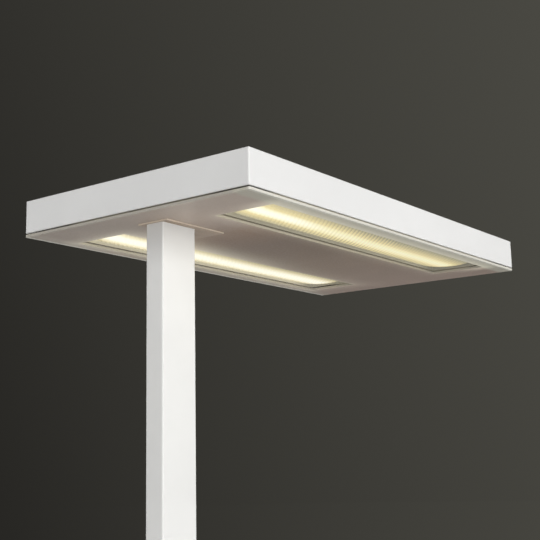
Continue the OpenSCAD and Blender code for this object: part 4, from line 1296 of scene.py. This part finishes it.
# cable gland: a tapered head with grip ribs round it, open through its neck
gland = {
    "bore": 3.7 * mm, "neck": 5.7 * mm, "head": 4.0 * mm, "round": 0.7 * mm, "taper": 1.3 * mm,
    "lip": 0.5 * mm, "lipStep": 0.3 * mm, "lipSlope": 0.1 * mm, "ribs": 22, "ribRadius": 0.75 * mm,
    "ribShort": 1.6 * mm, "ribSides": 8, "sides": 64,
}


def ribTree():
    tree = bpy.data.node_groups.new("gripRibs", "GeometryNodeTree")
    socket(tree, "Geometry", "NodeSocketGeometry")
    socket(tree, "Count", "NodeSocketInt")
    for name in ("Circle Radius", "Rib Radius", "Rib Length", "Lean"):
        socket(tree, name, "NodeSocketFloat")
    socket(tree, "Material", "NodeSocketMaterial")
    socket(tree, "Geometry", "NodeSocketGeometry", "OUTPUT")
    given = addNode(tree, "NodeGroupInput").outputs
    circle = addNode(
        tree, "GeometryNodeMeshCircle", {"Vertices": given["Count"], "Radius": given["Circle Radius"]}
    )
    rib = addNode(
        tree, "GeometryNodeMeshCone",
        {
            "Vertices": gland["ribSides"], "Radius Top": given["Rib Radius"],
            "Radius Bottom": given["Rib Radius"], "Depth": given["Rib Length"],
        },
    )
    index = addNode(tree, "GeometryNodeInputIndex")
    turn = addNode(tree, "ShaderNodeMath", {0: index, 1: given["Count"]}, operation="DIVIDE")
    turn = addNode(tree, "ShaderNodeMath", {0: turn, 1: math.tau}, operation="MULTIPLY")
    angles = addNode(tree, "ShaderNodeCombineXYZ", {1: given["Lean"], 2: turn})
    spread = addNode(
        tree, "GeometryNodeInstanceOnPoints",
        {"Points": circle, "Instance": rib.outputs["Mesh"], "Rotation": angles},
    )
    joined = addNode(tree, "GeometryNodeJoinGeometry")
    tree.links.new(given["Geometry"], joined.inputs[0])
    tree.links.new(spread.outputs[0], joined.inputs[0])
    real = addNode(tree, "GeometryNodeRealizeInstances", {0: joined})
    coloured = addNode(tree, "GeometryNodeSetMaterial", {"Geometry": real, "Material": given["Material"]})
    addNode(tree, "NodeGroupOutput", {0: coloured})
    return tree


def makeGland():
    low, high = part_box("cable_gland")
    outer = (high.x - low.x) / 2
    reach = high.y - low.y - gland["head"]
    half = gland["head"] / 2
    foot = outer - gland["ribRadius"] * 0.5
    tip = foot - gland["taper"]
    lip = gland["lip"] - half
    profile = [
        (gland["bore"], -half - reach), (gland["neck"], -half - reach), (gland["neck"], -half),
        (outer, -half),
        (outer, lip), (foot - gland["lipStep"], lip + gland["lipSlope"]), (tip, half - gland["round"]),
        (tip - gland["round"] * 0.4, half - gland["round"] * 0.3), (tip - gland["round"], half),
        (gland["bore"], half),
    ]
    mesh = runTree(
        turned(profile, Matrix(), gland["sides"]),
        ribTree(),
        {
            "Count": gland["ribs"],
            "Circle Radius": (foot + tip) / 2 - gland["ribRadius"] * 0.4,
            "Rib Radius": gland["ribRadius"],
            "Rib Length": gland["head"] - gland["ribShort"],
            "Lean": -math.atan2(gland["taper"], gland["head"]),
            "Material": finishes["mouldedNylonBlack"],
        },
    )
    middle = Vector(((low.x + high.x) / 2, high.y - half, (low.z + high.z) / 2))
    mesh.transform(Matrix.Translation(middle) @ Matrix.Rotation(-math.pi / 2, 4, "X"))
    addPiece("ribbedGland", mesh, "stand", None, "black_plastic", "cable_gland")


makeGland()
print("gland made")

# rubber feet: one moulded pad with grip rings underneath, laid out three by two
foot = {
    "chamfer": 0.6 * mm, "groove": 0.5 * mm, "grooves": (4.5 * mm, 8.5 * mm), "grooveWidth": 1.0 * mm,
    "grooveFloor": 0.6, "across": 3, "deep": 2, "sides": 48,
}


def layoutTree():
    tree = bpy.data.node_groups.new("padLayout", "GeometryNodeTree")
    socket(tree, "Geometry", "NodeSocketGeometry")
    for name in ("Across", "Deep"):
        socket(tree, name, "NodeSocketInt")
    for name in ("Size X", "Size Y"):
        socket(tree, name, "NodeSocketFloat")
    socket(tree, "Material", "NodeSocketMaterial")
    socket(tree, "Geometry", "NodeSocketGeometry", "OUTPUT")
    given = addNode(tree, "NodeGroupInput").outputs
    grid = addNode(
        tree, "GeometryNodeMeshGrid",
        {
            "Size X": given["Size X"], "Size Y": given["Size Y"], "Vertices X": given["Across"],
            "Vertices Y": given["Deep"],
        },
    )
    spread = addNode(
        tree, "GeometryNodeInstanceOnPoints",
        {"Points": grid.outputs["Mesh"], "Instance": given["Geometry"]},
    )
    real = addNode(tree, "GeometryNodeRealizeInstances", {0: spread})
    coloured = addNode(tree, "GeometryNodeSetMaterial", {"Geometry": real, "Material": given["Material"]})
    addNode(tree, "NodeGroupOutput", {0: coloured})
    return tree


def makeFeet():
    names = [f"base_pad_{i}" for i in range(1, 7)]
    boxes = [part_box(name) for name in names]
    low, high = boxes[0]
    radius, height = (high.x - low.x) / 2, high.z - low.z
    profile = [(0.0, 0.0)]
    for r in foot["grooves"]:
        half = foot["grooveWidth"] / 2
        floor = half * foot["grooveFloor"]
        profile += [
            (r - half, 0.0), (r - floor, foot["groove"]), (r + floor, foot["groove"]), (r + half, 0.0),
        ]
    profile += [(radius - foot["chamfer"], 0.0), (radius, foot["chamfer"]), (radius, height), (0.0, height)]
    middles = [((a.x + b.x) / 2, (a.y + b.y) / 2) for a, b in boxes]
    spanX = max(x for x, _ in middles) - min(x for x, _ in middles)
    spanY = max(y for _, y in middles) - min(y for _, y in middles)
    mesh = runTree(
        turned(profile, Matrix(), foot["sides"]),
        layoutTree(),
        {
            "Across": foot["across"], "Deep": foot["deep"], "Size X": spanX, "Size Y": spanY,
            "Material": finishes["nitrileRubberBlack"],
        },
    )
    middle = (min(x for x, _ in middles) + spanX / 2, min(y for _, y in middles) + spanY / 2, low.z)
    mesh.transform(Matrix.Translation(middle))
    addPiece("rubberFeet", mesh, "stand", None, "rubber_pad", *names)


makeFeet()
print("feet made")
